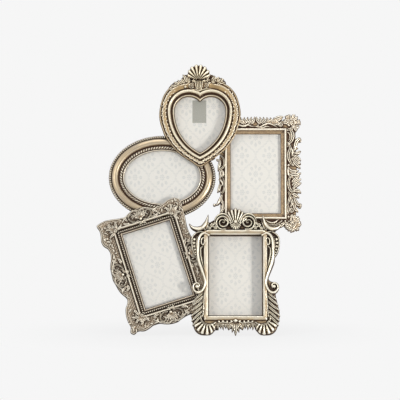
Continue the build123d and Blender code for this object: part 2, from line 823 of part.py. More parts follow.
# Glass, print insert and backing board of every casting

castings = {"heart": heart, "oval": oval, "leaf": leaf, "tilted": tilted, "scroll": scroll}
rectangle_pane = rebate_shape(-glazing_play)
panes = {
    "heart": heart_shape(heart_lap - glazing_play),
    "oval": oval_shape(oval_lap - glazing_play),
    "leaf": rectangle_pane,
    "tilted": rectangle_pane,
    "scroll": rectangle_pane,
}
insert_back = rebate_depth - glass_thickness - insert_thickness
glazing_levels = {
    "glass": (rebate_depth - glass_thickness, rebate_depth),
    "insert": (insert_back, insert_back + insert_thickness),
    "backing_board": (board_recess, board_recess + board_thickness),
}
pieces = {
    "heart_frame": heart_frame,
    "oval_frame": oval_frame,
    "leaf_frame": leaf_frame,
    "tilted_frame": tilted_frame,
    "scroll_frame": scroll_frame,
}
for casting_name, casting in castings.items():
    for layer_name, (low, high) in glazing_levels.items():
        with BuildPart() as pane:
            layer(casting, panes[casting_name], low, high)
        pieces[f"{casting_name}_{layer_name}"] = pane

# Joining plates, turn buttons and their screws


def drilled_slot(casting, centre, turn, length, width, holes, hole_radius, back, thickness):
    """Round-ended strip with holes, lying parallel to the common back."""
    with BuildSketch(level(casting, back)) as strip:
        with Locations(Location((*centre, 0), (0, 0, turn))):
            SlotOverall(length, width)
        with Locations(*holes):
            Circle(hole_radius, mode=Mode.SUBTRACT)
    extrude(strip.sketch, amount=thickness)


def pan_screws(places, seat):
    """Screws driven towards the front, their heads bearing on a face at a height."""
    with Locations(*spots_on(places, seat)):
        Cylinder(screw_radius, screw_bite - seat, align=forward)
        Cylinder(screw_head_radius, screw_head_height, align=backward)


for plate_name, plate in plates.items():
    with BuildPart() as plate_part:
        drilled_slot(plate.casting, (plate.across, plate.rise), plate.turn, plate_length, plate_width,
                     plate_ends(plate), screw_radius + screw_fit, -plate_thickness, plate_thickness)
    pieces[plate_name] = plate_part

with BuildPart() as joining_plate_screws:
    pan_screws(plate_screw_places, -plate_thickness)
pieces["joining_plate_screws"] = joining_plate_screws

button_seat = -button_gap - button_thickness
button_middle = (button_length - button_width) / 2
for button_name, button in buttons.items():
    middle = Vector(button.across, button.rise) + polar(button.turn, button_middle)
    with BuildPart() as button_part:
        drilled_slot(button.casting, (middle.X, middle.Y), button.turn, button_length, button_width,
                     [(button.across, button.rise)], screw_radius + button_bore_play,
                     button_seat, button_thickness)
    pieces[button_name] = button_part

with BuildPart() as turn_button_screws:
    pan_screws(button_places, button_seat - button_gap)
pieces["turn_button_screws"] = turn_button_screws

# Easel strut, built where it stands open

strut_pin_plane = level(scroll, -strut_pin_setback)
strut_pin_centre = strut_pin_plane.origin + Vector(strut_across, 0, 0) + up_face * strut_rise
leg_lean = radians(lean_angle - strut_open_angle)
out_of_leg = Vector(0, -cos(leg_lean), sin(leg_lean))
stop_reach = strut_pin_setback - plate_thickness - strut_stop_play
stop_reach -= strut_leaf_thickness / 2 * cos(radians(strut_open_angle))
strut_stop_rise = stop_reach / sin(radians(strut_open_angle))


def leg_level(height):
    """Plane of the leg at a height in front of the pin's axis, with the leg's own up as its second axis."""
    return Plane(origin=strut_pin_centre + out_of_leg * height, x_dir=(1, 0, 0), z_dir=out_of_leg)


def across_pin(offset):
    """Plane square to the pin, with up the face and out of the face as its axes."""
    return Plane(origin=strut_pin_centre + Vector(offset, 0, 0), x_dir=up_face, z_dir=(1, 0, 0))


ear_inner = strut_leaf_width / 2 + strut_ear_play
ear_reach = strut_pin_setback - plate_thickness
rivet_pitch = strut_leaf_length / strut_rivet_count
rivet_spots = [
    (0, -strut_leg_drop - strut_rivet_head - index * rivet_pitch) for index in range(strut_rivet_count)
]
leg_front = -strut_leaf_thickness / 2
leg_back = leg_front - strut_leg_thickness
leg_length = strut_pin_centre.Z / cos(leg_lean) + strut_leg_thickness

with BuildPart() as strut_bracket:
    with BuildSketch(level(scroll, -plate_thickness)):
        with Locations((strut_across, strut_rise + (strut_plate_rise - strut_plate_drop) / 2)):
            Rectangle(strut_plate_width, strut_plate_rise + strut_plate_drop)
        with Locations(*strut_screw_spots):
            Circle(screw_radius + screw_fit, mode=Mode.SUBTRACT)
    extrude(amount=plate_thickness)
    for side in (-1, 1):
        with BuildSketch(across_pin(side * (ear_inner + strut_ear_thickness / 2))):
            Circle(strut_ear_radius)
            with Locations((0, ear_reach / 2)):
                Rectangle(2 * strut_ear_radius, ear_reach)
            Circle(strut_pin_radius + screw_fit, mode=Mode.SUBTRACT)
        extrude(amount=strut_ear_thickness / 2, both=True)
pieces["strut_bracket"] = strut_bracket

with BuildPart() as strut_bracket_screws:
    pan_screws(strut_screw_places, -plate_thickness)
pieces["strut_bracket_screws"] = strut_bracket_screws

with BuildPart() as strut_pin:
    with BuildSketch(across_pin(0)):
        Circle(strut_pin_radius)
    extrude(amount=ear_inner + strut_ear_thickness + screw_head_height, both=True)
pieces["strut_pin"] = strut_pin

with BuildPart() as strut_hinge_leaf:
    with BuildSketch(leg_level(leg_front)):
        with Locations((0, (strut_stop_rise - strut_leaf_length) / 2)):
            Rectangle(strut_leaf_width, strut_leaf_length + strut_stop_rise)
        with Locations(*rivet_spots):
            Circle(strut_rivet_radius + screw_fit, mode=Mode.SUBTRACT)
    extrude(amount=strut_leaf_thickness)
    with BuildSketch(across_pin(0)):
        Circle(strut_barrel_radius)
    extrude(amount=strut_leaf_width / 2, both=True)
    with BuildSketch(across_pin(0)):
        Circle(strut_pin_radius + strut_pin_play)
    extrude(amount=strut_leaf_width, both=True, mode=Mode.SUBTRACT)
pieces["strut_hinge_leaf"] = strut_hinge_leaf

with BuildPart() as strut_leg:
    with BuildSketch(leg_level(leg_back)):
        with BuildLine():
            Polyline(
                (-strut_leg_top_width / 2, -strut_leg_drop),
                (strut_leg_top_width / 2, -strut_leg_drop),
                (strut_leg_foot_width / 2, -leg_length),
                (-strut_leg_foot_width / 2, -leg_length),
                close=True,
            )
        make_face()
        with Locations(*rivet_spots):
            Circle(strut_rivet_radius + screw_fit, mode=Mode.SUBTRACT)
    extrude(amount=strut_leg_thickness)
    split(bisect_by=Plane.XY, keep=Keep.TOP)
pieces["strut_leg"] = strut_leg

with BuildPart() as strut_rivets:
    with BuildSketch(leg_level(leg_back - strut_rivet_head_height)):
        with Locations(*rivet_spots):
            Circle(strut_rivet_head)
    extrude(amount=strut_rivet_head_height)
    with BuildSketch(leg_level(leg_back)):
        with Locations(*rivet_spots):
            Circle(strut_rivet_radius)
    extrude(amount=strut_leg_thickness + strut_leaf_thickness)
    with BuildSketch(leg_level(leg_front + strut_leaf_thickness)):
        with Locations(*rivet_spots):
            Circle(strut_rivet_head)
    extrude(amount=strut_rivet_head_height)
pieces["strut_rivets"] = strut_rivets

# Every piece moves together so that the origin lies on the floor below the middle of the whole frame

whole = Compound([piece.part for piece in pieces.values()]).bounding_box()
to_origin = Vector(-whole.center().X, -whole.center().Y, -whole.min.Z)

os.makedirs("parts", exist_ok=True)
for name, piece in pieces.items():
    piece.part.move(Location(to_origin))
    piece.part.label = name
    export_step(piece.part, f"parts/{name}.step")
print("moved to the origin by", to_origin, "overall size", whole.size)
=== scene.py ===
import bmesh
import bpy
import numpy as np
from collections import namedtuple
from math import acos, ceil, cos, pi, radians, sin
from mathutils import Matrix, Vector


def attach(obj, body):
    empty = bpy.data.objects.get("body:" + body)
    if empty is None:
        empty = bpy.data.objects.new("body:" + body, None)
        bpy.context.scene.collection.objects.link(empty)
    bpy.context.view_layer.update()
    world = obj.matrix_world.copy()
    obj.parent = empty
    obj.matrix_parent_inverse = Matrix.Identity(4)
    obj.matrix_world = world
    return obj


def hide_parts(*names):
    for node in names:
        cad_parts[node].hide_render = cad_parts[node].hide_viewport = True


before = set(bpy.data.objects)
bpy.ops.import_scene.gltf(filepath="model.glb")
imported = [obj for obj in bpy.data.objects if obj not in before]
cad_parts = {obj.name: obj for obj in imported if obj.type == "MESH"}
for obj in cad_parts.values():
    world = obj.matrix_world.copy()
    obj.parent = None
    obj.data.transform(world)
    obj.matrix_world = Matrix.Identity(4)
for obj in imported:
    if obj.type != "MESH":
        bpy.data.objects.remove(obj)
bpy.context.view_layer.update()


# Where each casting sits. Carving is drawn in millimetres in the casting's own axes: across, up and out.

Casting = namedtuple("Casting", "across rise turn")

HEART = Casting(0, 388.8728, 0)
OVAL = Casting(-69.5479, 290.5728, 0)
LEAF = Casting(102.4521, 297.0, 0)
TILTED = Casting(-77.9204, 128.7565, 17.5)
SCROLL = Casting(65.0, 108.2, 0)
CASTINGS = {"heart": HEART, "oval": OVAL, "leaf": LEAF, "tilted": TILTED, "scroll": SCROLL}
LEAN = radians(10)
# Where the plane of the backs meets the floor, in millimetres
FACE_START = (2.55389, -36.1491, 0)
MM = 0.001


def on_the_face(casting):
    """Matrix from a casting's own millimetres to the finished object's metres."""
    face = Matrix((
        (1, 0, 0, FACE_START[0]),
        (0, sin(LEAN), -cos(LEAN), FACE_START[1]),
        (0, cos(LEAN), sin(LEAN), FACE_START[2]),
        (0, 0, 0, 1),
    ))
    spot = Matrix.Translation((casting.across, casting.rise, 0)) @ Matrix.Rotation(radians(casting.turn), 4, "Z")
    return Matrix.Scale(MM, 4) @ face @ spot


# Drawing tools of the carver

def smooth(points, closed=False, steps=6):
    """Rounds a line of points. A point may carry further numbers, such as a width."""
    points = np.array(points, float)
    if closed:
        ring = np.vstack([points[-1], points, points[:2]])
    else:
        ring = np.vstack([2 * points[0] - points[1], points, 2 * points[-1] - points[-2]])
    rows = []
    for a, b, c, d in zip(ring, ring[1:], ring[2:], ring[3:]):
        for t in np.arange(steps) / steps:
            bend = (2 * a - 5 * b + 4 * c - d) * t**2 + (3 * b - a - 3 * c + d) * t**3
            rows.append(b + 0.5 * ((c - a) * t + bend))
    if not closed:
        rows.append(points[-1])
    return np.array(rows)


def mirrored(points):
    return [(-x, y) for x, y in points]


def at_angle(x, y, reach, angle):
    """Place at some reach and angle from another place."""
    return x + reach * cos(angle), y + reach * sin(angle)


def outline_depth(x, y, line):
    """Distance inside a closed line, negative outside it."""
    near = np.full(x.shape, 1e9)
    within = np.zeros(x.shape, bool)
    for (ax, ay), (bx, by) in zip(line, np.roll(line, -1, axis=0)):
        run, climb = bx - ax, by - ay
        t = np.clip(((x - ax) * run + (y - ay) * climb) / (run * run + climb * climb + 1e-12), 0, 1)
        near = np.minimum(near, (x - ax - t * run) ** 2 + (y - ay - t * climb) ** 2)
        if climb:
            within ^= ((ay > y) != (by > y)) & (x < ax + run * (y - ay) / climb)
    return np.where(within, 1, -1) * np.sqrt(near)


def box_spread(x, y, half_width, half_height):
    """Distance outwards from a rectangular sight, with mitred corners."""
    return np.maximum(np.abs(x) - half_width, np.abs(y) - half_height)


def oval_spread(x, y, half_width, half_height):
    """Distance outwards from an oval sight, measured on ovals that grow evenly from it."""
    spread = np.zeros(x.shape)
    for _ in range(12):
        wide, tall = half_width + spread, half_height + spread
        miss = (x / wide) ** 2 + (y / tall) ** 2 - 1
        slope = -2 * (x**2 / wide**3 + y**2 / tall**3) - 1e-9
        spread = np.clip(spread - miss / slope, 4 - half_height, 90)
    return spread


LOBE_ACROSS, LOBE_UP, LOBE_RADIUS, SIDE_RADIUS = 20.5, 24.5, 26.5, 87.4
SIDE_CENTRE = LOBE_ACROSS + LOBE_RADIUS - SIDE_RADIUS


def heart_spread(x, y):
    """Distance outwards from the heart's sight: two lobes on two long side arcs."""
    x = np.abs(x)
    lobe = np.hypot(x - LOBE_ACROSS, y - LOBE_UP) - LOBE_RADIUS
    side = np.hypot(x - SIDE_CENTRE, y - LOBE_UP) - SIDE_RADIUS
    return np.where(y >= LOBE_UP, lobe, side)


def heart_line(grow):
    """The heart's sight, grown outwards."""
    lobe, side = LOBE_RADIUS + grow, SIDE_RADIUS + grow
    over = np.linspace(acos(-LOBE_ACROSS / lobe), 0, 30)
    down = np.linspace(0, -acos(-SIDE_CENTRE / side), 40)[1:]
    half = [(LOBE_ACROSS + lobe * cos(a), LOBE_UP + lobe * sin(a)) for a in over]
    half += [(SIDE_CENTRE + side * cos(a), LOBE_UP + side * sin(a)) for a in down]
    return half + mirrored(half[-2:0:-1])


def box_line(left, right, low, high):
    return [(-left, -low), (right, -low), (right, high), (-left, high)]


def centred_box(half_width, half_height):
    return box_line(half_width, half_width, half_height, half_height)


def oval_line(half_width, half_height):
    return [(half_width * cos(a), half_height * sin(a)) for a in np.linspace(0, 2 * pi, 120, endpoint=False)]


def rounded(depth, edge):
    """Quarter-round shoulder that rises from 0 at an edge to 1."""
    return np.sqrt(1 - (1 - np.clip(depth / edge, 0, 1)) ** 2)


# Sections of a carved line, from 0 at its middle to 1 at its edge
SECTIONS = {
    "round": lambda c: np.sqrt(1 - c**2),
    "veined": lambda c: np.sqrt(1 - c**2) * (0.72 + 0.28 * c) - 0.30 * np.exp(-((c / 0.2) ** 2)),
    "double": lambda c: np.sqrt(1 - c**4) * (0.62 + 0.38 * np.sin(np.pi * c)) - 0.25 * np.exp(-((c / 0.2) ** 2)),
    "flat": lambda c: np.sqrt(1 - c**6),
}


# Depth inside the outline that stands for a place far off the casting
FAR_OFF = -40.0


class Relief:
    """Height of a casting over its back, and how far each place lies inside its outline."""

    def __init__(self, left, right, low, high, step):
        self.step, self.left, self.low = step, left, low
        self.x, self.y = np.meshgrid(np.arange(left, right + step, step), np.arange(low, high + step, step))
        self.top = np.zeros(self.x.shape)
        self.inside = np.full(self.x.shape, FAR_OFF)

    def window(self, x, y, reach):
        """The part of the grid round some places."""
        rows, columns = self.x.shape
        i = max(0, int((np.min(x) - reach - self.left) / self.step))
        j = max(0, int((np.min(y) - reach - self.low) / self.step))
        k = min(columns, int((np.max(x) + reach - self.left) / self.step) + 2)
        m = min(rows, int((np.max(y) + reach - self.low) / self.step) + 2)
        return slice(j, m), slice(i, k)

    def lay(self, where, depth, height):
        """Adds a form, and keeps whatever stands higher."""
        self.inside[where] = np.maximum(self.inside[where], depth)
        self.top[where] = np.where(depth > 0, np.maximum(self.top[where], height), self.top[where])

    def cut(self, spread):
        """Takes away what lies inside the sight."""
        self.inside = np.minimum(self.inside, spread)

    def mirror(self):
        self.inside = np.maximum(self.inside, self.inside[:, ::-1])
        self.top = np.maximum(self.top, self.top[:, ::-1])

    def plate(self, line, height, edge, rim):
        """Flat ground inside a closed line, rounded down to a rim height at its edge."""
        depth = outline_depth(self.x, self.y, np.array(line, float))
        self.lay(np.s_[:, :], depth, rim + (height - rim) * rounded(depth, edge))
        return depth

    def follow(self, line, half, low, high, section):
        """Lays a section of changing half width along a line."""
        where = self.window(line[:, 0], line[:, 1], max(half) + 1)
        x, y = self.x[where], self.y[where]
        best = np.full(x.shape, FAR_OFF)
        across = np.ones(x.shape)
        size = np.ones(x.shape)
        for (ax, ay), (bx, by), wide_a, wide_b in zip(line, line[1:], half, half[1:]):
            run, climb = bx - ax, by - ay
            t = np.clip(((x - ax) * run + (y - ay) * climb) / (run * run + climb * climb + 1e-12), 0, 1)
            away = np.hypot(x - ax - t * run, y - ay - t * climb)
            wide = wide_a + (wide_b - wide_a) * t
            nearer = wide - away > best
            best = np.where(nearer, wide - away, best)
            across = np.where(nearer, away / np.maximum(wide, 0.05), across)
            size = np.where(nearer, wide / max(half), size)
        form = SECTIONS[section](np.clip(across, 0, 1)) * np.clip(size, 0, 1) ** 0.5
        self.lay(where, best, low + (high - low) * form)

    def stroke(self, points, width, low, high, section="round", ends=(1, 1), steps=6):
        """Carved line through some points. Ends gives the share of its width left at each end."""
        line = smooth(points, steps=steps)
        along = np.concatenate([[0], np.cumsum(np.hypot(*np.diff(line, axis=0).T))])
        share = np.interp(along / along[-1], (0, 0.35, 0.65, 1), (ends[0], 1, 1, ends[1]))
        self.follow(line, width / 2 * share, low, high, section)

    def petal(self, foot, tip, width, low, high, bend=0.0):
        """Pointed leaf with a vein, bent sideways by a share of its length."""
        (ax, ay), (bx, by) = foot, tip
        run, climb = bx - ax, by - ay
        shares = ((0, 0, 0.25), (0.25, 0.75, 0.85), (0.5, 1, 1), (0.78, 0.75, 0.62), (1, 0, 0.06))
        line = [(ax + run * t - climb * bend * s, ay + climb * t + run * bend * s, w * width / 2)
                for t, s, w in shares]
        line = smooth(line, steps=3)
        self.follow(line[:, :2], line[:, 2], low, high, "veined")

    def bead(self, x, y, radius, low, high, pit=0.0):
        """Bead or knob, with a pit in its middle where one is given."""
        where = self.window(x, y, radius + 1)
        away = np.hypot(self.x[where] - x, self.y[where] - y)
        share = np.clip(away / radius, 0, 1)
        form = np.sqrt(1 - share**2) - pit * np.exp(-((share / 0.35) ** 2))
        self.lay(where, radius - away, low + (high - low) * form)

    def volute(self, x, y, radius, turns, start, way, width, low, high, section="double"):
        """Spiral that winds inwards to an eye. Way is 1 for anticlockwise and -1 for clockwise."""
        count = ceil(turns * 10)
        points = []
        for index in range(count + 1):
            share = index / count
            angle = radians(start) + way * 2 * pi * turns * share
            reach = (radius - width / 2) * (1 - share) ** 0.85 + width * 0.55 * share
            points.append(at_angle(x, y, reach, angle))
        self.stroke(points, width, low, high, section, (1, 0.6), steps=3)
        self.bead(x, y, width * 0.45, low, high - 1.5)

    def flower(self, x, y, radius, turn, low, high):
        """Five round petals about an eye."""
        for index in range(5):
            petal = at_angle(x, y, 0.6 * radius, radians(turn) + 2 * pi * index / 5)
            self.bead(*petal, 0.42 * radius, low, high - 0.4)
        self.bead(x, y, 0.34 * radius, low, high)

    def shell(self, x, y, first, last, flutes, rim, low, high, heel):
        """Fan of flutes between two angles. Rim lists the reach at some angles, and heel is where it starts."""
        longest = max(length for _, length in rim)
        where = self.window(x, y, longest + 1)
        dx, dy = self.x[where] - x, self.y[where] - y
        far = np.hypot(dx, dy)
        angle = np.degrees(np.arctan2(dy, dx))
        share = (angle - first) / (last - first)
        lobe = np.abs(np.sin(np.clip(share, 0, 1) * flutes * pi))
        reach = np.interp(angle, *zip(*rim)) * (0.90 + 0.10 * lobe**0.6)
        side = np.minimum(share, 1 - share) * radians(last - first) * far + 0.2
        depth = np.where(far > heel, np.minimum(reach - far, side), -1)
        swell = np.sin(np.clip(far / reach, 0, 1) * pi * 0.62 + 0.35)
        self.lay(where, depth, low + (high - low) * (0.25 + 0.75 * lobe**0.7) * swell * rounded(depth, 1.6))


# Heart casting: two mouldings round the sight, a band of small flowers, and the crest

HEART_EDGE = [
    (0, -80), (17, -70), (32, -60.5), (44, -50.5), (53, -40), (60, -30), (66, -19.5), (70, -8), (73, 1),
    (75, 12), (75, 22), (73.5, 32), (71, 42), (67.5, 52), (62, 61), (54, 69.5), (43, 76), (28, 80), (10, 82),
]
CREST_GROUND = [
    (-57, 66), (-55, 71), (-50, 76), (-42, 80), (-34, 83), (-31, 90), (-24, 92), (-12, 88), (12, 88),
    (22, 92), (27, 88), (32, 86), (40, 86), (44, 82), (48, 76), (40, 66), (20, 62), (0, 56), (-20, 62),
    (-40, 62),
]
CREST_LEAVES = [
    ((-34, 70), (-57, 67), 7, 0.15), ((-34, 71), (-54, 73), 7, 0.12), ((-32, 73), (-48, 78.5), 6.5, 0.1),
    ((-30, 74), (-41, 82), 6, 0.1), ((-28, 74), (-34, 85), 6, 0.05), ((-25, 75), (-32, 92), 6.5, -0.1),
    ((-20, 74), (-25, 91), 6, -0.1), ((-22, 70), (-38, 66.5), 6, -0.2), ((-14, 72), (-22, 84), 5, 0.2),
    ((20, 80), (27, 90), 6.5, -0.15), ((12, 80), (20, 92), 5.5, 0.1), ((28, 76), (36, 87), 6.5, 0.1),
    ((32, 74), (44, 83), 6.5, 0.15), ((30, 70), (47, 76), 6, 0.15), ((22, 70), (36, 68), 5, 0.2),
    ((10, 74), (20, 82), 5, 0.2), ((8, 68), (20, 68), 4.5, -0.25),
]


# Height of the middle that the band's sprigs stand round
BAND_MIDDLE = 6


def heart_relief(step):
    r = Relief(-80, 80, -84, 114, step)
    spread = heart_spread(r.x, r.y)
    line = smooth(HEART_EDGE + mirrored(HEART_EDGE[:0:-1]), closed=True, steps=4)
    depth = outline_depth(r.x, r.y, line)
    moulding = np.interp(
        spread,
        (0.0, 0.9, 2.3, 3.6, 4.4, 5.6, 6.8, 8.2, 10.2, 12.0, 13.0, 14.0, 16.5, 21.0, 30.0),
        (8.0, 11.6, 13.4, 12.4, 11.4, 11.6, 14.5, 20.6, 23.2, 21.4, 16.6, 16.8, 18.2, 19.2, 18.4),
    )
    lip = np.interp(depth, (0, 0.8, 1.9, 3.2, 4.2, 6.0, 9.0), (12.8, 15.2, 15.8, 14.8, 15.4, 17.6, 25.0))
    r.lay(np.s_[:, :], depth, np.minimum(moulding, lip))
    heart_band_flowers(r, line)
    r.plate(smooth(CREST_GROUND, closed=True, steps=4), 12.5, 2.5, 9.0)
    heart_crest(r)
    r.cut(spread)
    return r


def heart_band_flowers(r, line):
    """Low sprigs of small flowers and leaves, all round the band."""
    chance = np.random.default_rng(5)
    for index, angle in enumerate(np.arange(-90, 270, 2.2)):
        if 50 < angle < 130:
            continue
        ax, ay = cos(radians(angle)), sin(radians(angle))
        reach = np.arange(30, 96, 0.5)
        x, y = reach * ax, BAND_MIDDLE + reach * ay
        on_band = reach[(heart_spread(x, y) > 14.2) & (outline_depth(x, y, line) > 4.2)]
        if not len(on_band):
            continue
        width = on_band[-1] - on_band[0]
        out = on_band[0] + width * (0.2, 0.8, 0.5)[index % 3] + chance.uniform(-0.5, 0.5)
        r.flower(out * ax, BAND_MIDDLE + out * ay, 1.8, chance.uniform(0, 72), 18.4, 19.6)
        out = on_band[0] + width * (0.65, 0.35, 0.9)[index % 3]
        x, y = out * ax, BAND_MIDDLE + out * ay
        way = radians(angle + 90 + chance.uniform(-50, 50))
        r.petal((x, y), at_angle(x, y, 3.8, way), 1.8, 18.0, 19.5, chance.uniform(-0.3, 0.3))
        r.bead(x, y, 0.9, 18.0, 19.6)


def heart_crest(r):
    """Scallop shell over a gathered tassel, between leaves and flowers."""
    rim = [(10, 21), (30, 26), (60, 29), (90, 30), (120, 28), (150, 23.5), (170, 17.5)]
    r.shell(-3.5, 80.5, 14, 163, 8, rim, 12.5, 24.0, 3.5)
    for foot, tip, width, bend in CREST_LEAVES:
        r.petal(foot, tip, width, 12.0, 20.8, bend)
    for x, y, size in ((-12, 79, 3.6), (8, 79, 3.2), (24, 78, 3.6), (34, 79, 3.2), (17, 75, 3.0), (-40, 73, 2.6),
                       (-27, 68, 2.8), (28, 84, 2.6), (40, 79.5, 2.4)):
        r.flower(x, y, size, 18, 15.5, 21.5)
    # gathered tassel between two curls
    for foot, head in ((-6, -9), (-4, -5.5), (-2, -2), (0, 1.5), (2, 5)):
        r.stroke([(foot, 62), ((foot + head) / 2, 69), (head, 79)], 3.0, 15, 22.5, "round", (0.6, 0.8))
    r.volute(-15.5, 69.5, 6.2, 1.3, 60, 1, 2.6, 15, 22)
    r.volute(11.5, 70.5, 5.6, 1.3, 120, -1, 2.4, 15, 22)
    r.stroke([(-24, 64), (-17, 62.5), (-9, 63), (-3, 60)], 2.6, 15, 21.5, "round", (0.4, 1))
    r.stroke([(-3, 60), (5, 63), (14, 64.5), (26, 63.5)], 2.6, 15, 21.5, "round", (1, 0.4))


# Oval casting: sight bead, rope, smooth round band and toothed rim

OVAL_SIGHT = (70, 49)
# Distances from the sight: middle of the rope, start, middle and end of the toothed rim
ROPE_AT, RIM_FROM, RIM_AT, RIM_END = 6, 23.4, 27, 28.5
ROPE_TURNS, TEETH = 84, 132


def oval_relief(step):
    r = Relief(-100, 100, -79.5, 79.5, step)
    spread = oval_spread(r.x, r.y, *OVAL_SIGHT)
    turn = radians(0.25) * np.arange(1441)

    def count_round(reach, count):
        """Even count of places along the oval at some distance from the sight."""
        wide, tall = OVAL_SIGHT[0] + reach, OVAL_SIGHT[1] + reach
        pace = np.hypot(wide * np.sin(turn), tall * np.cos(turn))
        along = np.concatenate([[0], np.cumsum((pace[1:] + pace[:-1]) / 2)])
        angle = np.arctan2(r.y / tall, r.x / wide) % (2 * pi)
        return np.interp(angle, turn, along / along[-1] * count)

    teeth = np.abs(np.cos(pi * count_round(RIM_AT, TEETH)))
    twist = np.cos(2 * pi * (count_round(ROPE_AT, ROPE_TURNS) + (spread - ROPE_AT) * 0.14))
    rope = np.sqrt(np.clip(1 - ((spread - ROPE_AT) / 2.5) ** 2, 0, 1))
    height = np.interp(
        spread,
        (0.0, 0.5, 1.2, 1.9, 2.4, 3.0, 9.0, 9.8, 10.6, 11.6,
         12.4, 14.0, 17.0, 20.0, 21.8, 22.8, 23.4, 24.2, 27.4, 28.2),
        (8.0, 9.0, 9.5, 8.9, 6.9, 6.6, 6.8, 6.4, 7.1, 8.8,
         10.2, 11.6, 12.0, 10.7, 8.9, 6.8, 4.0, 7.4, 7.6, 4.4),
    )
    height = np.where(rope > 0, np.maximum(height, 6.6 + rope * (2.2 + 1.4 * twist)), height)
    height -= 3.6 * (1 - teeth**0.7) * np.clip((spread - RIM_FROM) / 0.8, 0, 1)
    r.lay(np.s_[:, :], RIM_END - 1.3 * (1 - teeth) - spread, height)
    r.cut(spread)
    return r


# Leaf casting: hollow and bead round the sight, then a carved band of C scrolls and leaves

LEAF_GROUND = [
    (-66, -96), (74, -96), (74, -60), (76, -20), (75, 30), (73, 60), (74, 99), (-66, 99), (-66, 40),
    (-68, 0), (-65, -40),
]
LEAF_CARVING = [
    # right rail: upper curl, long C and its fan
    ([(57, 80), (62, 82), (67, 77), (68.5, 69), (66, 61), (61, 55), (59, 50)], 5.4, "double"),
    ([(60, 76), (64, 72), (64, 66), (61, 62)], 3.8, "veined"),
    ([(59, 58), (63, 52), (63, 45), (60.5, 37), (61, 28), (64.5, 20), (68.5, 15.5), (70.5, 18), (68.5, 20)],
     5.0, "double"),
    ([(65, 48), (68, 41), (66.5, 32)], 3.6, "round"),
    ([(70, 34), (75, 31), (82.5, 25)], 5.0, "veined"),
    ([(69, 29), (75, 24.5), (82.3, 18)], 5.0, "veined"),
    ([(69, 24), (74, 18), (81.5, 10.5)], 5.0, "veined"),
    ([(71, 39), (76, 38), (82.5, 41.5)], 4.6, "veined"),
    ([(71, 44), (73, 53), (75.5, 60), (80, 64.5), (82.5, 61), (80, 59.5)], 5.4, "veined"),
    ([(60, 12), (63, 6), (70, 4), (78, 6)], 5.4, "veined"),
    ([(60, 4), (66, -1), (74, -2), (82.5, 1)], 5.6, "veined"),
    ([(60, 12), (59.5, 3), (62, -6)], 4.0, "round"),
    # right rail: lower C, its leaves and the foot curl
    ([(66, -5), (62, -9), (60.5, -17), (61.5, -26), (65, -32), (70, -32), (71, -28), (68.5, -26.5)],
     5.0, "double"),
    ([(69, -27), (75, -21), (83, -17)], 5.0, "veined"),
    ([(68, -21), (74, -15), (82.5, -10)], 5.0, "veined"),
    ([(67, -15), (72, -10), (80, -5)], 4.6, "veined"),
    ([(70, -33), (76, -31), (82.5, -35)], 5.2, "veined"),
    ([(66, -37), (72, -39), (79, -44)], 5.0, "veined"),
    ([(70, -42), (73, -50), (77, -57), (81.5, -58), (81, -62.5), (78, -61)], 5.2, "veined"),
    ([(60, -34), (63, -42), (61, -50), (58.5, -58)], 4.6, "double"),
    ([(64, -44), (67, -54), (64, -62)], 4.4, "veined"),
    ([(71, -55), (72, -64), (77, -70)], 5.4, "veined"),
    ([(59, -58), (60, -66), (58, -76)], 4.2, "veined"),
    # top rail
    ([(-50, 90), (-40, 92.5), (-30, 90), (-22, 88), (-14, 90.5), (-8, 88), (0, 87.5)], 3.2, "round"),
    ([(0, 87.5), (8, 86.5), (15, 90), (24, 93), (33, 90), (40, 86)], 3.2, "round"),
    ([(6, 87), (12, 84.5), (20, 87.5), (28, 86)], 2.4, "round"),
    ([(30, 94), (40, 92.5), (50, 97)], 4.6, "veined"),
    ([(34, 101), (42, 104), (50, 106)], 5.0, "veined"),
    # bottom rail
    ([(23, -99), (33, -102), (42, -99)], 5.2, "veined"),
    ([(38, -97), (46, -96), (53, -90)], 5.0, "veined"),
    ([(-2, -86), (0, -95), (2, -103)], 6.0, "veined"),
    # left rail
    ([(-65, 34), (-60, 29), (-57.5, 21), (-59, 13), (-64, 9), (-68, 12), (-66, 16), (-63, 15)], 3.6, "double"),
    ([(-60, -9), (-57.5, -17), (-57.5, -26), (-60, -34), (-64, -35), (-65.5, -31)], 3.6, "double"),
    ([(-66, -12), (-62, -15), (-61, -20), (-64, -23)], 3.2, "round"),
    ([(-59, 40), (-63, 48), (-60, 58), (-64, 66)], 4.2, "veined"),
    ([(-66, 8), (-63, 0), (-66, -8)], 5.4, "veined"),
    ([(-61, 6), (-59, -1), (-61, -7)], 3.0, "round"),
    ([(-71, 26), (-66, 22), (-69, 6)], 4.4, "veined"),
    ([(-62, -40), (-64, -47), (-61, -56)], 4.6, "veined"),
    ([(-59, -52), (-60, -61), (-57, -70)], 4.4, "veined"),
    ([(-66, -46), (-69, -55), (-74, -58)], 4.0, "round"),
    ([(-64, -60), (-62, -68), (-66, -76)], 4.6, "veined"),
    ([(-66, -20), (-67, -28), (-70, -34)], 4.4, "veined"),
    ([(-58, 62), (-60, 70), (-58, 80)], 4.4, "veined"),
]
# Carved on both sides of the casting's middle
LEAF_PAIRS = [
    ([(18, 90), (27, 97), (37, 97.5), (48, 102)], 5.6, "veined"),
    ([(8, -84), (16, -92), (27, -96), (38, -95), (48, -87)], 4.6, "double"),
    ([(18, -86), (25, -90.5), (34, -90.5), (42, -85)], 3.2, "round"),
    ([(10, -92), (14, -101), (24, -104)], 5.6, "veined"),
]
LEAF_KNOBS = [
    (-76, -58, 2.6), (82, -60, 2.0), (81, 63.5, 2.2), (61, 90, 2.6), (60, -80, 2.6), (54, -88, 2.4),
    (-54, 88, 2.4),
]
LEAF_SIGHT, LEAF_MOULDING, LEAF_HIGH = (46, 73.5), 13.0, 14.0


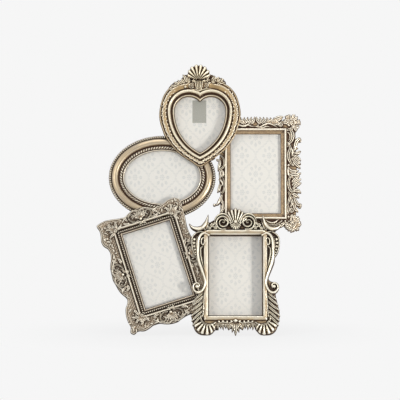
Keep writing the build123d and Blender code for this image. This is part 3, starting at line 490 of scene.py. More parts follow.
def leaf_relief(step):
    r = Relief(-80, 88, -110, 110, step)
    spread = box_spread(r.x, r.y, *LEAF_SIGHT)
    depth = r.plate(LEAF_GROUND, 8.6, 2.0, 5.5)
    moulding = np.interp(
        spread,
        (0, 0.7, 2.2, 4.4, 6.4, 7.4, 8.6, 9.8, 10.8, 11.6, 13.0),
        (8.0, 8.6, 8.9, 9.6, 11.0, 12.9, 13.9, 13.2, 11.0, 8.6, 8.6),
    )
    r.top = np.where((depth > 0) & (spread < LEAF_MOULDING), moulding, r.top)
    chance = np.random.default_rng(11)
    scattered_leaves(r, chance, 300, LEAF_SIGHT, LEAF_MOULDING, LEAF_GROUND, 1.5, (4.5, 7.5), 8.0, 11.4)
    other_side = [(mirrored(points), width, section) for points, width, section in LEAF_PAIRS]
    for points, width, section in LEAF_CARVING + LEAF_PAIRS + other_side:
        r.stroke(points, 1.3 * width, 7.0, LEAF_HIGH, section, (0.55, 0.35))
    for x, y, size in LEAF_KNOBS:
        r.bead(x, y, size, 6.5, LEAF_HIGH)
    for x, y, radius, start, way in ((45.5, 91, 5.6, 200, -1), (66, -68, 5.4, 90, 1), (-45.5, 91, 5.6, -20, 1)):
        r.volute(x, y, radius, 1.4, start, way, 2.6, 8.4, LEAF_HIGH)
    # slanting leaves of the top rail lean to its middle
    for index in range(6):
        across = 1.5 + 6.4 * index
        for side in (-1, 1):
            tip = (side * across, 106.5 - 0.3 * index)
            r.petal((side * (across + 8), 91.5), tip, 6.2, 6.5, LEAF_HIGH, side * 0.1)
    for x, y, facing in ((66, 94, 45), (67, -91, -45), (-60, 94, 135), (-58, -91, -135)):
        corner_bunch(r, chance, x, y, facing)
    r.cut(spread)
    return r


def scattered_leaves(r, chance, count, sight, band_from, edge, margin, lengths, low, high):
    """Small leaves strewn over a band, clear of the moulding inside it and of the casting's edge."""
    edge = np.array(edge, float)
    left, right, low_end, high_end = r.x[0, 0], r.x[0, -1], r.y[0, 0], r.y[-1, 0]
    for _ in range(count):
        x, y = chance.uniform(left, right), chance.uniform(low_end, high_end)
        turn, bend, length = chance.uniform(0, 2 * pi), chance.uniform(-0.4, 0.4), chance.uniform(*lengths)
        depth = outline_depth(np.array([x]), np.array([y]), edge)[0]
        if box_spread(x, y, *sight) >= band_from + 2 and depth >= margin:
            r.petal((x, y), at_angle(x, y, length, turn), 3.2, low, high, bend)


def corner_bunch(r, chance, x, y, facing):
    """Petals bunched round a small flower, in two rows."""
    for row, count, reach, size in ((0, 15, 17.5, 6.2), (1, 10, 10.5, 5.2)):
        for index in range(count):
            angle = radians(facing - 128 + 256 * (index + 0.5 * row) / (count - 1) + chance.uniform(-5, 5))
            far = reach + chance.uniform(-1.6, 1.0)
            foot, tip = at_angle(x, y, 0.4 * far, angle), at_angle(x, y, far, angle)
            r.petal(foot, tip, size, 7.0 + row, LEAF_HIGH - 0.5 + 0.5 * row, chance.uniform(-0.25, 0.25))
    r.flower(x, y, 4.4, facing, 9.5, LEAF_HIGH + 0.1)


# Tilted casting: pearls round the sight, a bead with ribbon ties, and a broad band with crossed lines

TILTED_EDGE = [
    (-85.5, 101), (-78, 104.5), (-68, 106), (-55, 105), (-44, 103), (-34, 102), (-27, 103), (-20, 107.5),
    (-10, 110.5), (0, 111.5), (9, 110.5), (17, 107), (26, 103.5), (36, 103.5), (46, 106), (55, 109.5),
    (66, 109), (74.5, 104.5), (77, 97), (76.5, 86), (75.5, 75), (74, 62), (73, 50), (74, 36), (77, 24),
    (79, 10), (79.5, -4), (77.5, -18), (74, -32), (73, -46), (74, -60), (77, -74), (77, -88), (75, -98),
    (70, -105), (58, -107), (46, -106), (38, -105), (30, -104.5), (20, -106), (10, -109), (3, -111.5),
    (-10, -111), (-20, -108), (-28, -104.5), (-40, -104), (-50, -107.5), (-60, -109), (-70, -106),
    (-79, -109.5), (-84.5, -104), (-81, -95), (-83, -85), (-83, -72), (-80, -60), (-75, -53), (-72, -45),
    (-74, -39), (-79, -31), (-82.5, -22), (-84.5, -12), (-86.5, -3), (-86, 6), (-85, 17), (-82.5, 26),
    (-79, 33), (-77, 41), (-76.5, 49), (-79, 56), (-84, 62), (-86, 70), (-84, 80), (-83, 91),
]
TILTED_SIGHT, TILTED_MOULDING, TILTED_HIGH = (45, 71.5), 16.0, 18.2
# Width of a diamond between the crossed lines
DIAMOND = 5.4
# Half sizes of the row of pearls, and half the spaces between pearls along each side
PEARL_ROW, PEARL_SPACES = (51.7, 78.2), (13.5, 20.5)


def tilted_relief(step):
    r = Relief(-90, 82, -114, 114, step)
    spread = box_spread(r.x, r.y, *TILTED_SIGHT)
    depth = outline_depth(r.x, r.y, smooth(TILTED_EDGE, closed=True, steps=3))
    moulding = np.interp(
        spread,
        (0.0, 0.7, 1.8, 2.8, 3.6, 4.2, 9.4, 10.4, 11.6, 12.8, 14.0, 15.0, 16.2, 45.0),
        (8.0, 10.2, 11.2, 10.6, 9.6, 9.2, 9.6, 11.4, 15.2, 16.8, 16.0, 12.6, 12.6, 14.2),
    )
    lip = np.interp(depth, (0, 0.7, 1.8, 3.0, 3.9, 4.4), (7.0, 11.6, 13.4, 12.6, 12.2, 30.0))
    # crossed lines with a dot in each diamond
    p, q = (r.x + r.y) / DIAMOND, (r.x - r.y) / DIAMOND
    line = np.maximum(*(np.exp(-((((way % 1) - 0.5) / 0.13) ** 2)) for way in (p, q)))
    dot = np.exp(-((((p + 0.5) % 1 - 0.5) ** 2 + ((q + 0.5) % 1 - 0.5) ** 2) / 0.045))
    crossed = np.where((spread > 15.6) & (depth > 3.4), 1.15 * line + 0.9 * dot, 0)
    r.lay(np.s_[:, :], depth, np.minimum(moulding, lip) + crossed)
    pearl_row(r)
    chance = np.random.default_rng(3)
    scattered_leaves(r, chance, 620, TILTED_SIGHT, TILTED_MOULDING, TILTED_EDGE, 4.5, (5.0, 8.5), 12.6, 17.0)
    for x, y, turn in ((-3, 83, 0), (0, -83.5, 0), (-57.5, 0, 90), (57, 0, 90)):
        ribbon_tie(r, x, y, radians(turn))
    for x, y, facing in ((-55, 82, 135), (53, 82, 45), (-55, -81, -135), (53, -81, -45)):
        corner_spray(r, chance, x, y, facing)
    for x, y, facing, size in ((-72, 1, 180, 1.0), (67, 2, 0, 0.85), (-4, 96, 90, 1.05), (-3, -97, -90, 1.05)):
        cartouche(r, x, y, radians(facing), size)
    r.cut(spread)
    r.inside = np.minimum(r.inside, depth)
    return r


def pearl_row(r):
    """Row of fine pearls round the sight."""
    (half_width, half_height), (across, up) = PEARL_ROW, PEARL_SPACES
    spots = [(half_width, index * half_height / up) for index in range(-int(up), int(up) + 1)]
    spots += [(index * half_width / across, half_height) for index in range(-int(across), int(across) + 1)]
    for x, y in spots + [(-x, -y) for x, y in spots]:
        r.bead(x, y, 1.75, 9.0, 13.6)


def ribbon_tie(r, x, y, turn):
    """Bow of four leaves about a knot."""
    for a, b in ((7, 3), (7, -3), (-7, 3), (-7, -3)):
        tip = (x + a * cos(turn) - b * sin(turn), y + a * sin(turn) + b * cos(turn))
        r.petal((x, y), tip, 3.4, 13, 18.4)
    r.bead(x, y, 2.2, 13, 19.0)


def corner_spray(r, chance, x, y, facing):
    """Fan of long and short leaves from a flower, with berries between."""
    for index, angle in enumerate(range(-100, 101, 22)):
        way = radians(facing + angle)
        foot, tip = at_angle(x, y, 2.5, way), at_angle(x, y, (20, 13.5)[index % 2] - abs(angle) * 0.03, way)
        r.petal(foot, tip, 5.2, 13.0, TILTED_HIGH, chance.uniform(-0.18, 0.18))
    r.flower(x, y, 3.8, facing, 14, 18.8)
    for angle in range(-75, 76, 30):
        r.bead(*at_angle(x, y, 16, radians(facing + angle + 8)), 1.6, 12.5, 17.5)


def cartouche(r, x, y, facing, size):
    """Shell between two C scrolls at the middle of a rail."""
    def spot(out, along):
        return (
            x + size * (out * cos(facing) - along * sin(facing)),
            y + size * (out * sin(facing) + along * cos(facing)),
        )

    for side in (-1, 1):
        curl = [spot(o, side * a) for o, a in ((-8, 5), (-9, 12), (-4, 19), (3, 20), (6, 15), (2, 11), (-2, 14))]
        r.stroke(curl, 3.2, 12.5, TILTED_HIGH, "double", (0.7, 0.6))
        brow = [spot(o, side * a) for o, a in ((9, 2), (11, 9), (8, 17), (3, 26), (-3, 33))]
        r.stroke(brow, 3.4, 12.5, TILTED_HIGH, "veined", (0.8, 0.3))
        r.petal(spot(-8, side * 20), spot(-4, side * 32), 5.4, 12.5, TILTED_HIGH, side * 0.2)
        r.petal(spot(-3, side * 24), spot(4, side * 33), 5.0, 12.5, TILTED_HIGH, -side * 0.2)
        r.bead(*spot(-2, side * 7.5), 2.0, 12.5, TILTED_HIGH)
    heel_x, heel_y = spot(-6, 0)
    for index in range(-3, 4):
        tip = at_angle(heel_x, heel_y, size * 17, facing + radians(index * 17))
        r.petal((heel_x, heel_y), tip, 4.6, 13, TILTED_HIGH + 0.3)
    r.bead(heel_x, heel_y, 3.2, 13, 19.0)


# Scroll casting: a lyre of side scrolls, feathered legs, a garland below and a fan above.
# It is drawn as its right half and mirrored.

SCROLL_WING = [
    (60, 80), (69, 79.5), (77, 75), (80.5, 68), (81.3, 58), (80, 48), (76.5, 39), (72.5, 33), (71.5, 24),
    (67.5, 13), (63, 2), (60.5, -6), (64, -10.5), (70, -12), (76, -15), (78.5, -21), (77.5, -28),
    (73.5, -34), (75, -44), (77.5, -54), (80, -66), (80.5, -77), (78.5, -86), (76.5, -95), (72, -103),
    (64, -108), (55, -109.5), (46, -108), (39, -102),
]
SCROLL_CREST = [
    (-52, 80), (-48, 96), (-38, 103), (-30, 110), (-18, 112), (0, 118), (18, 112), (30, 110), (38, 103),
    (48, 96), (52, 80),
]
SCROLL_LINES = [
    # main S of the lyre, ending in the side volute
    ([(49, 74), (57, 77.5), (64.5, 73), (68, 63), (68.6, 50), (69, 38), (66.4, 24), (61, 9), (56.5, -4),
      (55, -13), (57, -22), (62.5, -29.5), (70, -31.5), (76.5, -26.5), (77, -18.5), (71.5, -14), (66.5, -17),
      (67.5, -22)],
     6.0, 18.5, 26.0, "round", (0.9, 0.5)),
    # leaf behind it, round the pearls
    ([(57, 80), (66, 80), (74, 76), (79, 69), (79.8, 58), (78.4, 48), (75, 39.5), (71.5, 34)],
     2.6, 18.5, 24.6, "round", (0.6, 0.5)),
    ([(70, 72), (71.5, 62), (71.5, 52), (70.5, 42)], 2.2, 19, 23.2, "round", (0.4, 0.4)),
    # inner line with its curl
    ([(54, 66), (59, 69), (62.5, 65), (62, 58), (58.5, 56), (57.5, 59.5)], 2.8, 20, 25.2, "round", (0.4, 0.8)),
    ([(60, 53), (63.5, 49), (63.6, 38), (61, 24), (57.5, 12)], 2.6, 20, 24.8, "round", (0.8, 0.3)),
    # inner line of the leg
    ([(57, -34), (58, -50), (58.5, -64), (60, -76)], 2.6, 19, 24.6, "round", (0.5, 0.9)),
    # C of the foot
    ([(36, -86), (42, -90), (50, -91), (58, -88), (63, -81), (63.5, -74)], 3.6, 19, 25.4, "double", (0.5, 0.8)),
    # garland ribbon
    ([(3, -83), (12, -87.5), (24, -86), (35, -90)], 2.4, 18.5, 25.2, "round", (0.8, 0.4)),
    # frame of the fan, and the crescent horn
    ([(8, 90), (10, 103), (18, 112), (28, 112.5), (36, 106), (38.5, 97)], 3.6, 16, 25.0, "round", (0.4, 0.5)),
    ([(50, 111.5), (51.5, 104), (54.5, 95), (61, 87.5), (70, 85.5), (79, 88.5), (84.5, 95)],
     9.5, 13.5, 25.4, "round", (0.14, 0.14)),
    ([(55, 84), (60, 88), (57, 93), (53, 98)], 3.4, 18, 24.6, "veined", (0.7, 0.4)),
]
# Feathers of the leg, and how wide each is
SCROLL_FEATHERS = [
    ([(58, -29), (64, -36), (74, -44)], 4.0), ([(58, -37), (66, -45), (77, -54)], 4.6),
    ([(58, -46), (67, -55), (79.5, -64)], 4.8), ([(58, -55), (68, -64), (80.5, -74)], 4.8),
    ([(58.5, -64), (68, -72), (79.5, -83)], 4.8), ([(60, -72), (68, -80), (78, -91)], 4.6),
]
SCROLL_PEARLS = [
    (75.2, 66, 2.7), (76.0, 59.4, 2.6), (75.4, 53, 2.4), (74.4, 47.2, 2.1), (73.4, 42.2, 1.8),
    (72.4, 38, 1.5),
]
SCROLL_FLOWERS = [(36.5, 88, 4.0), (43, 92, 4.2), (47.5, 86.5, 3.4), (38, 95.5, 3.0)]
SCROLL_SIGHT = (48.5, 73)
# Where the rail round the sight slopes away, and where it ends
RAIL_SLOPE, RAIL_END = 8.4, 9.6


def scroll_relief(step):
    r = Relief(-90, 90, -112, 126, step)
    spread = box_spread(r.x, r.y, *SCROLL_SIGHT)
    wing = [(50, 80), *smooth(SCROLL_WING, steps=4), (36, -98), (36, -84), (50, -84)]
    r.plate(wing, 18.0, 2.5, 12.0)
    r.plate(box_line(57, 57, 90, 84), 20.4, 1.5, 17.0)
    r.plate(centred_box(57, 82), 22.4, 1.5, 19.0)
    r.plate(smooth(SCROLL_CREST, closed=True, steps=4), 16.5, 2.0, 12.0)
    rail = np.interp(
        spread,
        (0, 0.8, 1.8, 2.8, 4.2, 7.0, RAIL_SLOPE, RAIL_END),
        (8.0, 17.0, 21.6, 23.6, 24.4, 24.2, 23.2, 21.0),
    )
    on_rail = (spread < RAIL_END) & (r.inside > 0)
    r.top = np.where(on_rail, np.maximum(rail, np.where(spread > RAIL_SLOPE, r.top, 0)), r.top)
    r.stroke([(-54, -78), (0, -78), (54, -78)], 5.0, 21.5, 24.6, "flat")
    r.stroke([(-51, 80.6), (0, 80.6), (51, 80.6)], 5.4, 22.0, 25.2, "flat")
    for points, width, low, high, section, ends in SCROLL_LINES:
        r.stroke(points, width, low, high, section, ends)
    for points, width in SCROLL_FEATHERS:
        r.stroke(points, width, 17.5, 24.8, "veined", (0.5, 0.45))
    r.bead(70.5, -20.5, 3.2, 20, 26, 0.25)
    for x, y, size in SCROLL_PEARLS:
        r.bead(x, y, size, 19.5, 25.4)
    for x, y, size in SCROLL_FLOWERS:
        r.flower(x, y, size, 10, 19, 25.4)
    r.volute(23, 97.5, 15.5, 1.9, 250, 1, 3.6, 14.5, 25.6, "round")
    r.petal((52, 84), (48, 98), 5.0, 18, 24.6, -0.15)
    # flutes of the foot
    rim = [(-140, 21), (-130, 23), (-120, 26.5), (-90, 29.6), (-60, 29), (-30, 27), (-20, 26)]
    r.shell(52, -80, -140, -20, 6, rim, 14.0, 24.2, 12.0)
    # garland
    for index in range(7):
        x = 5 + 4.6 * index
        r.petal((x, -82.5), (x + 3.2, -97.5 - 2.0 * (index % 2)), 5.0, 16, 24.4 - 0.2 * index, 0.12)
    for index in range(4):
        r.bead(8 + 7.5 * index, -84 - 0.8 * (index % 2), 2.6, 18, 25.0)
    for foot, tip, low_end, width in ((0, 0, -111, 6.4), (2.5, 6.5, -104, 5.2), (5, 13, -99.5, 5.0)):
        r.petal((foot, -86), (tip, low_end), width, 16, 25.0)
    # fan with its small collar
    rim = [(30, 25), (50, 30), (75, 34.5), (90, 36), (105, 34.5), (130, 30), (150, 25)]
    r.shell(0, 88, 32, 148, 9, rim, 15.0, 24.0, 5.8)
    r.shell(0, 97, -158, -22, 7, [(-160, 11), (-90, 13.5), (-20, 11)], 20.0, 26.0, 1.3)
    r.bead(0, 98.5, 3.4, 21, 26.0)
    r.bead(0, -83, 4.0, 19, 26.0)
    r.mirror()
    r.cut(spread)
    return r


# From relief to a closed casting

def blurred(field, sigma):
    """Soft blur over some cells of the grid."""
    reach = int(3 * sigma + 1)
    share = np.exp(-0.5 * (np.arange(-reach, reach + 1) / sigma) ** 2)
    share /= share.sum()
    padded = np.pad(field, reach, mode="edge")
    rows = sum(s * padded[i:i + padded.shape[0] - 2 * reach] for i, s in enumerate(share))
    return sum(s * rows[:, i:i + rows.shape[1] - 2 * reach] for i, s in enumerate(share))


def even_over(field, solid, sigma):
    """Blur that takes no notice of what lies off the casting."""
    return blurred(field * solid, sigma) / np.maximum(blurred(solid, sigma), 0.02)


# Forms by which the wear, the wash with its painted shade and the rubbed paint with its painted highlight are
# judged: their size and full depth in millimetres, and their share of each
WEAR_AND_PAINTED_LIGHT = ((0.8, 0.5, 0.45), (1.9, 1.4, 0.35), (4.5, 4.5, 0.3))


def wear_and_painted_light_of(relief):
    """How deep each place lies in a hollow, and how far it stands proud, both from 0 to 1."""
    # Hollows get the dark wash with painted shade, proud places the rubbed paint with painted highlight.
    solid = (relief.inside > 0).astype(float)
    hollow = np.zeros(relief.top.shape)
    proud = np.zeros(relief.top.shape)
    for size, depth, share in WEAR_AND_PAINTED_LIGHT:
        mean = even_over(relief.top, solid, size / relief.step)
        hollow += share * np.clip((mean - relief.top) / depth, 0, 1.2)
        proud += share * np.clip((relief.top - mean) / depth, 0, 1.2)
    return np.clip(hollow, 0, 1), np.clip(proud, 0, 1)


def largest_island(cells):
    """Keeps the largest joined group of cells."""
    left = cells.copy()
    best = np.zeros_like(cells)
    while left.any():
        start = tuple(np.argwhere(left)[0])
        group = np.zeros_like(cells)
        group[start] = left[start] = True
        stack = [start]
        while stack:
            i, j = stack.pop()
            for a, b in ((i + 1, j), (i - 1, j), (i, j + 1), (i, j - 1)):
                if 0 <= a < cells.shape[0] and 0 <= b < cells.shape[1] and left[a, b]:
                    left[a, b] = False
                    group[a, b] = True
                    stack.append((a, b))
        if group.sum() > best.sum():
            best = group
    return best


def solid_cells(inside):
    """The grid's cells that belong to the casting, with no two touching only at a corner."""
    on = inside > 0
    cells = on[:-1, :-1] | on[1:, :-1] | on[:-1, 1:] | on[1:, 1:]
    while True:
        a, b, c, d = cells[:-1, :-1], cells[:-1, 1:], cells[1:, :-1], cells[1:, 1:]
        rising = a & d & ~b & ~c
        falling = b & c & ~a & ~d
        if not (rising.any() or falling.any()):
            return largest_island(cells)
        b |= rising
        a |= falling


def pulled_to_edge(relief):
    """Grid corners, with those just off the casting drawn in to its outline."""
    inside = np.clip(relief.inside, -3, 3)
    climb_y, climb_x = np.gradient(inside, relief.step)
    steep = np.maximum(climb_x**2 + climb_y**2, 0.2)
    move = np.where(inside <= 0, np.clip(-inside / steep, 0, 0.8 * relief.step / np.sqrt(steep)), 0)
    return relief.x + move * climb_x, relief.y + move * climb_y


# Least thickness of a casting, and the blurs in cells that soften its carving and its edge
THINNEST, SOFT, SOFT_EDGE = 3.0, 0.6, 0.8


def casting_mesh(name, relief, casting):
    """Closed casting: the relief in front, upright walls and a flat back."""
    solid = (relief.inside > 0).astype(float)
    cells = solid_cells(relief.inside)
    x, y = pulled_to_edge(relief)
    beside = blurred(relief.top * solid, SOFT_EDGE) / np.maximum(blurred(solid, SOFT_EDGE), 1e-3)
    top = np.where(solid > 0, even_over(relief.top, solid, SOFT), beside)
    hollow, proud = wear_and_painted_light_of(relief)
    used = np.zeros(solid.shape, bool)
    for a, b in ((0, 0), (1, 0), (0, 1), (1, 1)):
        used[a:used.shape[0] - 1 + a, b:used.shape[1] - 1 + b] |= cells
    number = np.full(used.shape, -1)
    count = int(used.sum())
    number[used] = np.arange(count)
    front = np.column_stack([x[used], y[used], np.maximum(top[used], THINNEST)])
    rows, columns = np.nonzero(cells)
    corners = np.column_stack([number[rows, columns], number[rows, columns + 1],
                               number[rows + 1, columns + 1], number[rows + 1, columns]])
    framed = np.pad(cells, 1)
    rims = []
    for di, dj, first, second in ((-1, 0, 0, 1), (0, 1, 1, 2), (1, 0, 2, 3), (0, -1, 3, 0)):
        open_side = ~framed[rows + 1 + di, columns + 1 + dj]
        rims.append(corners[open_side][:, (first, second)])
    rims = np.vstack(rims)
    on_rim, below = np.unique(rims, return_inverse=True)
    below = below.reshape(rims.shape) + count
    walls = np.column_stack([rims[:, 1], rims[:, 0], below[:, 0], below[:, 1]])
    foot = np.column_stack([relief.x[used][on_rim], relief.y[used][on_rim], np.zeros(len(on_rim))])
    mesh = bpy.data.meshes.new(name)
    mesh.from_pydata(np.vstack([front, foot]), [], np.vstack([corners, walls]).tolist())
    # Hollow drives the wash and painted shade, proud drives the rubbed paint and painted highlight.
    for label, field in (("hollow", hollow), ("proud", proud)):
        layer = mesh.attributes.new(label, "FLOAT", "POINT")
        layer.data.foreach_set("value", np.concatenate([field[used], np.zeros(len(foot))]).astype(np.float32))
    close_back(mesh)
    places = np.empty(len(mesh.vertices) * 3)
    mesh.vertices.foreach_get("co", places)
    places = places.reshape(-1, 3)
    places[count:, :2] = front[on_rim][:, :2]
    mesh.vertices.foreach_set("co", places.ravel())
    mesh.transform(on_the_face(casting))
    return added(name, mesh)


def close_back(mesh):
    """Fills the open back between the feet of the walls, while they stand on the even grid."""
    shape = bmesh.new()
    shape.from_mesh(mesh)
    edges = [edge for edge in shape.edges if edge.is_boundary]
    bmesh.ops.triangle_fill(shape, edges=edges, use_beauty=False, use_dissolve=False, normal=(0, 0, -1))
    shape.to_mesh(mesh)
    shape.free()


def added(name, mesh):
    piece = bpy.data.objects.new(name, mesh)
    bpy.context.scene.collection.objects.link(piece)
    return piece


def prism(line, low, high, matrix):
    """Straight-sided body with the given outline, between two heights, put in its place by a matrix."""
    turned_area = sum(a[0] * b[1] - b[0] * a[1] for a, b in zip(line, line[1:] + line[:1]))
    if turned_area < 0:
        line = line[::-1]
    shape = bmesh.new()
    foot = [shape.verts.new((x, y, low)) for x, y in line]
    head = [shape.verts.new((x, y, high)) for x, y in line]
    shape.faces.new(foot[::-1])
    shape.faces.new(head)
    for a, b, c, d in zip(foot, foot[1:] + foot[:1], head[1:] + head[:1], head):
        shape.faces.new((a, b, c, d))
    mesh = bpy.data.meshes.new("block")
    shape.to_mesh(mesh)
    shape.free()
    mesh.transform(matrix)
    return added("block", mesh)


def block(line, low, high, casting):
    """Prism that stands on a casting's back, between two heights over it."""
    return prism(line, low, high, on_the_face(casting))


def shaped(piece, operation, *blocks):
    """Joins blocks to a piece or cuts them from it, and uses them up."""
    for tool in blocks:
        change = piece.modifiers.new("shape", "BOOLEAN")
        change.operation, change.solver, change.object = operation, "MANIFOLD", tool
        depsgraph = bpy.context.evaluated_depsgraph_get()
        result = bpy.data.meshes.new_from_object(piece.evaluated_get(depsgraph))
        piece.modifiers.clear()
        old, piece.data = piece.data, result
        bpy.data.meshes.remove(old)
        bpy.data.objects.remove(tool)
    return piece


# Least angle between two faces that looks like a sharp edge
SHARP = radians(58)


def finished(piece, name, finish):
    """Keeps sharp edges sharp, puts the casting in its node's place and paints it."""
    piece.data.polygons.foreach_set("use_smooth", np.ones(len(piece.data.polygons), bool))
    piece.data.set_sharp_from_angle(angle=SHARP)
    piece.data.materials.clear()
    piece.data.materials.append(finish)
    piece.name = piece.data.name = name + "_casting"
    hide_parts(name + "_frame")
    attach(piece, "frame")


# The five castings, each cut behind for its glazing and for the neighbours it laps over

GRID = 0.5
# Heights over the back: under it, over everything, the rebate's depth, and the two sides of the glass
BELOW, ABOVE, REBATE = -5, 30, 6
PANE_BACK, PANE_FRONT = 4.08, 5.95
GROUND_EDGE = 0.35 * MM
# How high a casting is hollowed out behind over the oval, the leaf and the tilted casting
OVAL_UNDER, LEAF_UNDER, TILTED_UNDER = 12.3, 14.3, 19.3
# Outlines of rectangular rebates, the walls round them, the gaps for those walls, and the panes
BOX_REBATE, BOX_WALL, BOX_GAP, BOX_PANE = (
    centred_box(*half) for half in ((51.5, 76.5), (55.5, 80.5), (56, 81), (50.9, 75.9)))
HEART_REBATE, HEART_WALL, HEART_GAP, HEART_PANE = (heart_line(grow) for grow in (3, 7, 7.5, 2.4))
OVAL_REBATE, OVAL_PANE = oval_line(74, 53), oval_line(73.4, 52.4)
# The tilted casting's outline, grown by half a millimetre
TILTED_GROWN = [tuple(p) for p in smooth(TILTED_EDGE, closed=True, steps=2) * (87.5 / 87, 112.5 / 112)]


def floor_block():
    """Everything under the floor."""
    return prism(centred_box(400, 60), -120, 0, Matrix.Scale(MM, 4))


def oval_under():
    return block(oval_line(99, 78.5), BELOW, OVAL_UNDER, OVAL)


def leaf_under():
    return block(box_line(74.5, 85.5, 106.5, 108.5), BELOW, LEAF_UNDER, LEAF)


def through(line, casting):
    return block(line, BELOW, ABOVE, casting)


def rebate(line, casting):
    return block(line, BELOW, REBATE, casting)


def outside(wall, casting, laps):
    """What laps over the neighbours, without the wall that stands round the rebate."""
    return shaped(laps, "DIFFERENCE", block(wall, BELOW - 1, ABOVE, casting))


def heart_casting():
    laps = outside(HEART_WALL, HEART, shaped(oval_under(), "UNION", leaf_under()))
    piece = casting_mesh("heart", heart_relief(GRID), HEART)
    return shaped(piece, "DIFFERENCE", laps, rebate(HEART_REBATE, HEART))


def oval_casting():
    piece = casting_mesh("oval", oval_relief(GRID), OVAL)
    gaps = through(HEART_GAP, HEART), through(BOX_GAP, TILTED)
    return shaped(piece, "DIFFERENCE", *gaps, rebate(OVAL_REBATE, OVAL))


def leaf_casting():
    piece = casting_mesh("leaf", leaf_relief(GRID), LEAF)
    return shaped(piece, "DIFFERENCE", through(HEART_GAP, HEART), rebate(BOX_REBATE, LEAF))


def tilted_casting():
    laps = outside(BOX_WALL, TILTED, oval_under())
    piece = casting_mesh("tilted", tilted_relief(GRID), TILTED)
    return shaped(piece, "DIFFERENCE", laps, rebate(BOX_REBATE, TILTED), through(BOX_GAP, SCROLL), floor_block())


def scroll_casting():
    tilted_under = block(TILTED_GROWN, BELOW, TILTED_UNDER, TILTED)
    laps = outside(BOX_WALL, SCROLL, shaped(tilted_under, "UNION", leaf_under()))
    piece = casting_mesh("scroll", scroll_relief(GRID), SCROLL)
    return shaped(piece, "DIFFERENCE", laps, rebate(BOX_REBATE, SCROLL), floor_block())


def glass_pane(name, line, casting):
    """Sheet of glass with its edges ground off, a hair clear of the print behind it."""
    piece = block(line, PANE_BACK, PANE_FRONT, casting)
    edges = piece.modifiers.new("ground_edge", "BEVEL")
    edges.width, edges.segments, edges.limit_method = GROUND_EDGE, 2, "ANGLE"
    piece.name = piece.data.name = name + "_pane"
    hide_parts(name + "_glass")
    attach(piece, "frame")
    return piece


# Finishes

def paint(red, green, blue):
    """Colour as read on a paint card, 0 to 255, for a shader."""
    def light(value):
        value /= 255
        return value / 12.92 if value <= 0.04045 else ((value + 0.055) / 1.055) ** 2.4

    return light(red), light(green), light(blue), 1.0


def put(tree, kind, inputs=(), **settings):
    """Adds a node, and sets its inputs or links them to other sockets."""
    node = tree.nodes.new(kind)
    for key, value in settings.items():
        setattr(node, key, value)
    for key, value in dict(inputs).items():
        if isinstance(value, bpy.types.NodeSocket):
            tree.links.new(value, node.inputs[key])
        else:
            node.inputs[key].default_value = value
    return node


def work(tree, operation, a, b=0.0, c=0.0, clamp=False):
    """Result of a sum on two or three numbers or sockets."""
    return put(tree, "ShaderNodeMath", {0: a, 1: b, 2: c}, operation=operation, use_clamp=clamp).outputs[0]


def sums(tree):
    """Product, total and difference of two numbers or sockets of a tree."""
    def sum_of(operation):
        return lambda a, b: work(tree, operation, a, b)

    return sum_of("MULTIPLY"), sum_of("ADD"), sum_of("SUBTRACT")


def blend_colours(tree, share, first, second):
    return put(tree, "ShaderNodeMix", {0: share, 6: first, 7: second}, data_type="RGBA").outputs[2]


def soft_step(tree, value, start, end):
    """0 below start, 1 above end and a smooth rise between."""
    node = put(tree, "ShaderNodeMapRange", {"Value": value, "From Min": start, "From Max": end},
               interpolation_type="SMOOTHSTEP")
    return node.outputs[0]


def noise(tree, place, scale, detail=3.0):
    """Clouds from 0 to 1, with scale clouds to a metre."""
    node = put(tree, "ShaderNodeTexNoise", {"Vector": place, "Scale": scale, "Detail": detail, "Roughness": 0.55})
    return node.outputs["Fac"]


def new_group(name, inputs, outputs):
    """Node group with named sockets. Returns it with its input and output nodes."""
    group = bpy.data.node_groups.new(name, "ShaderNodeTree")
    for label, kind, value in inputs:
        socket = group.interface.new_socket(label, in_out="INPUT", socket_type="NodeSocket" + kind)
        if value is not None:
            socket.default_value = value
    for label, kind in outputs:
        group.interface.new_socket(label, in_out="OUTPUT", socket_type="NodeSocket" + kind)
    return group, put(group, "NodeGroupInput").outputs, put(group, "NodeGroupOutput").inputs


def handed_out(group, out, **results):
    """The group, with its results linked to its outputs."""
    for name, socket in results.items():
        group.links.new(socket, out[name])
    return group


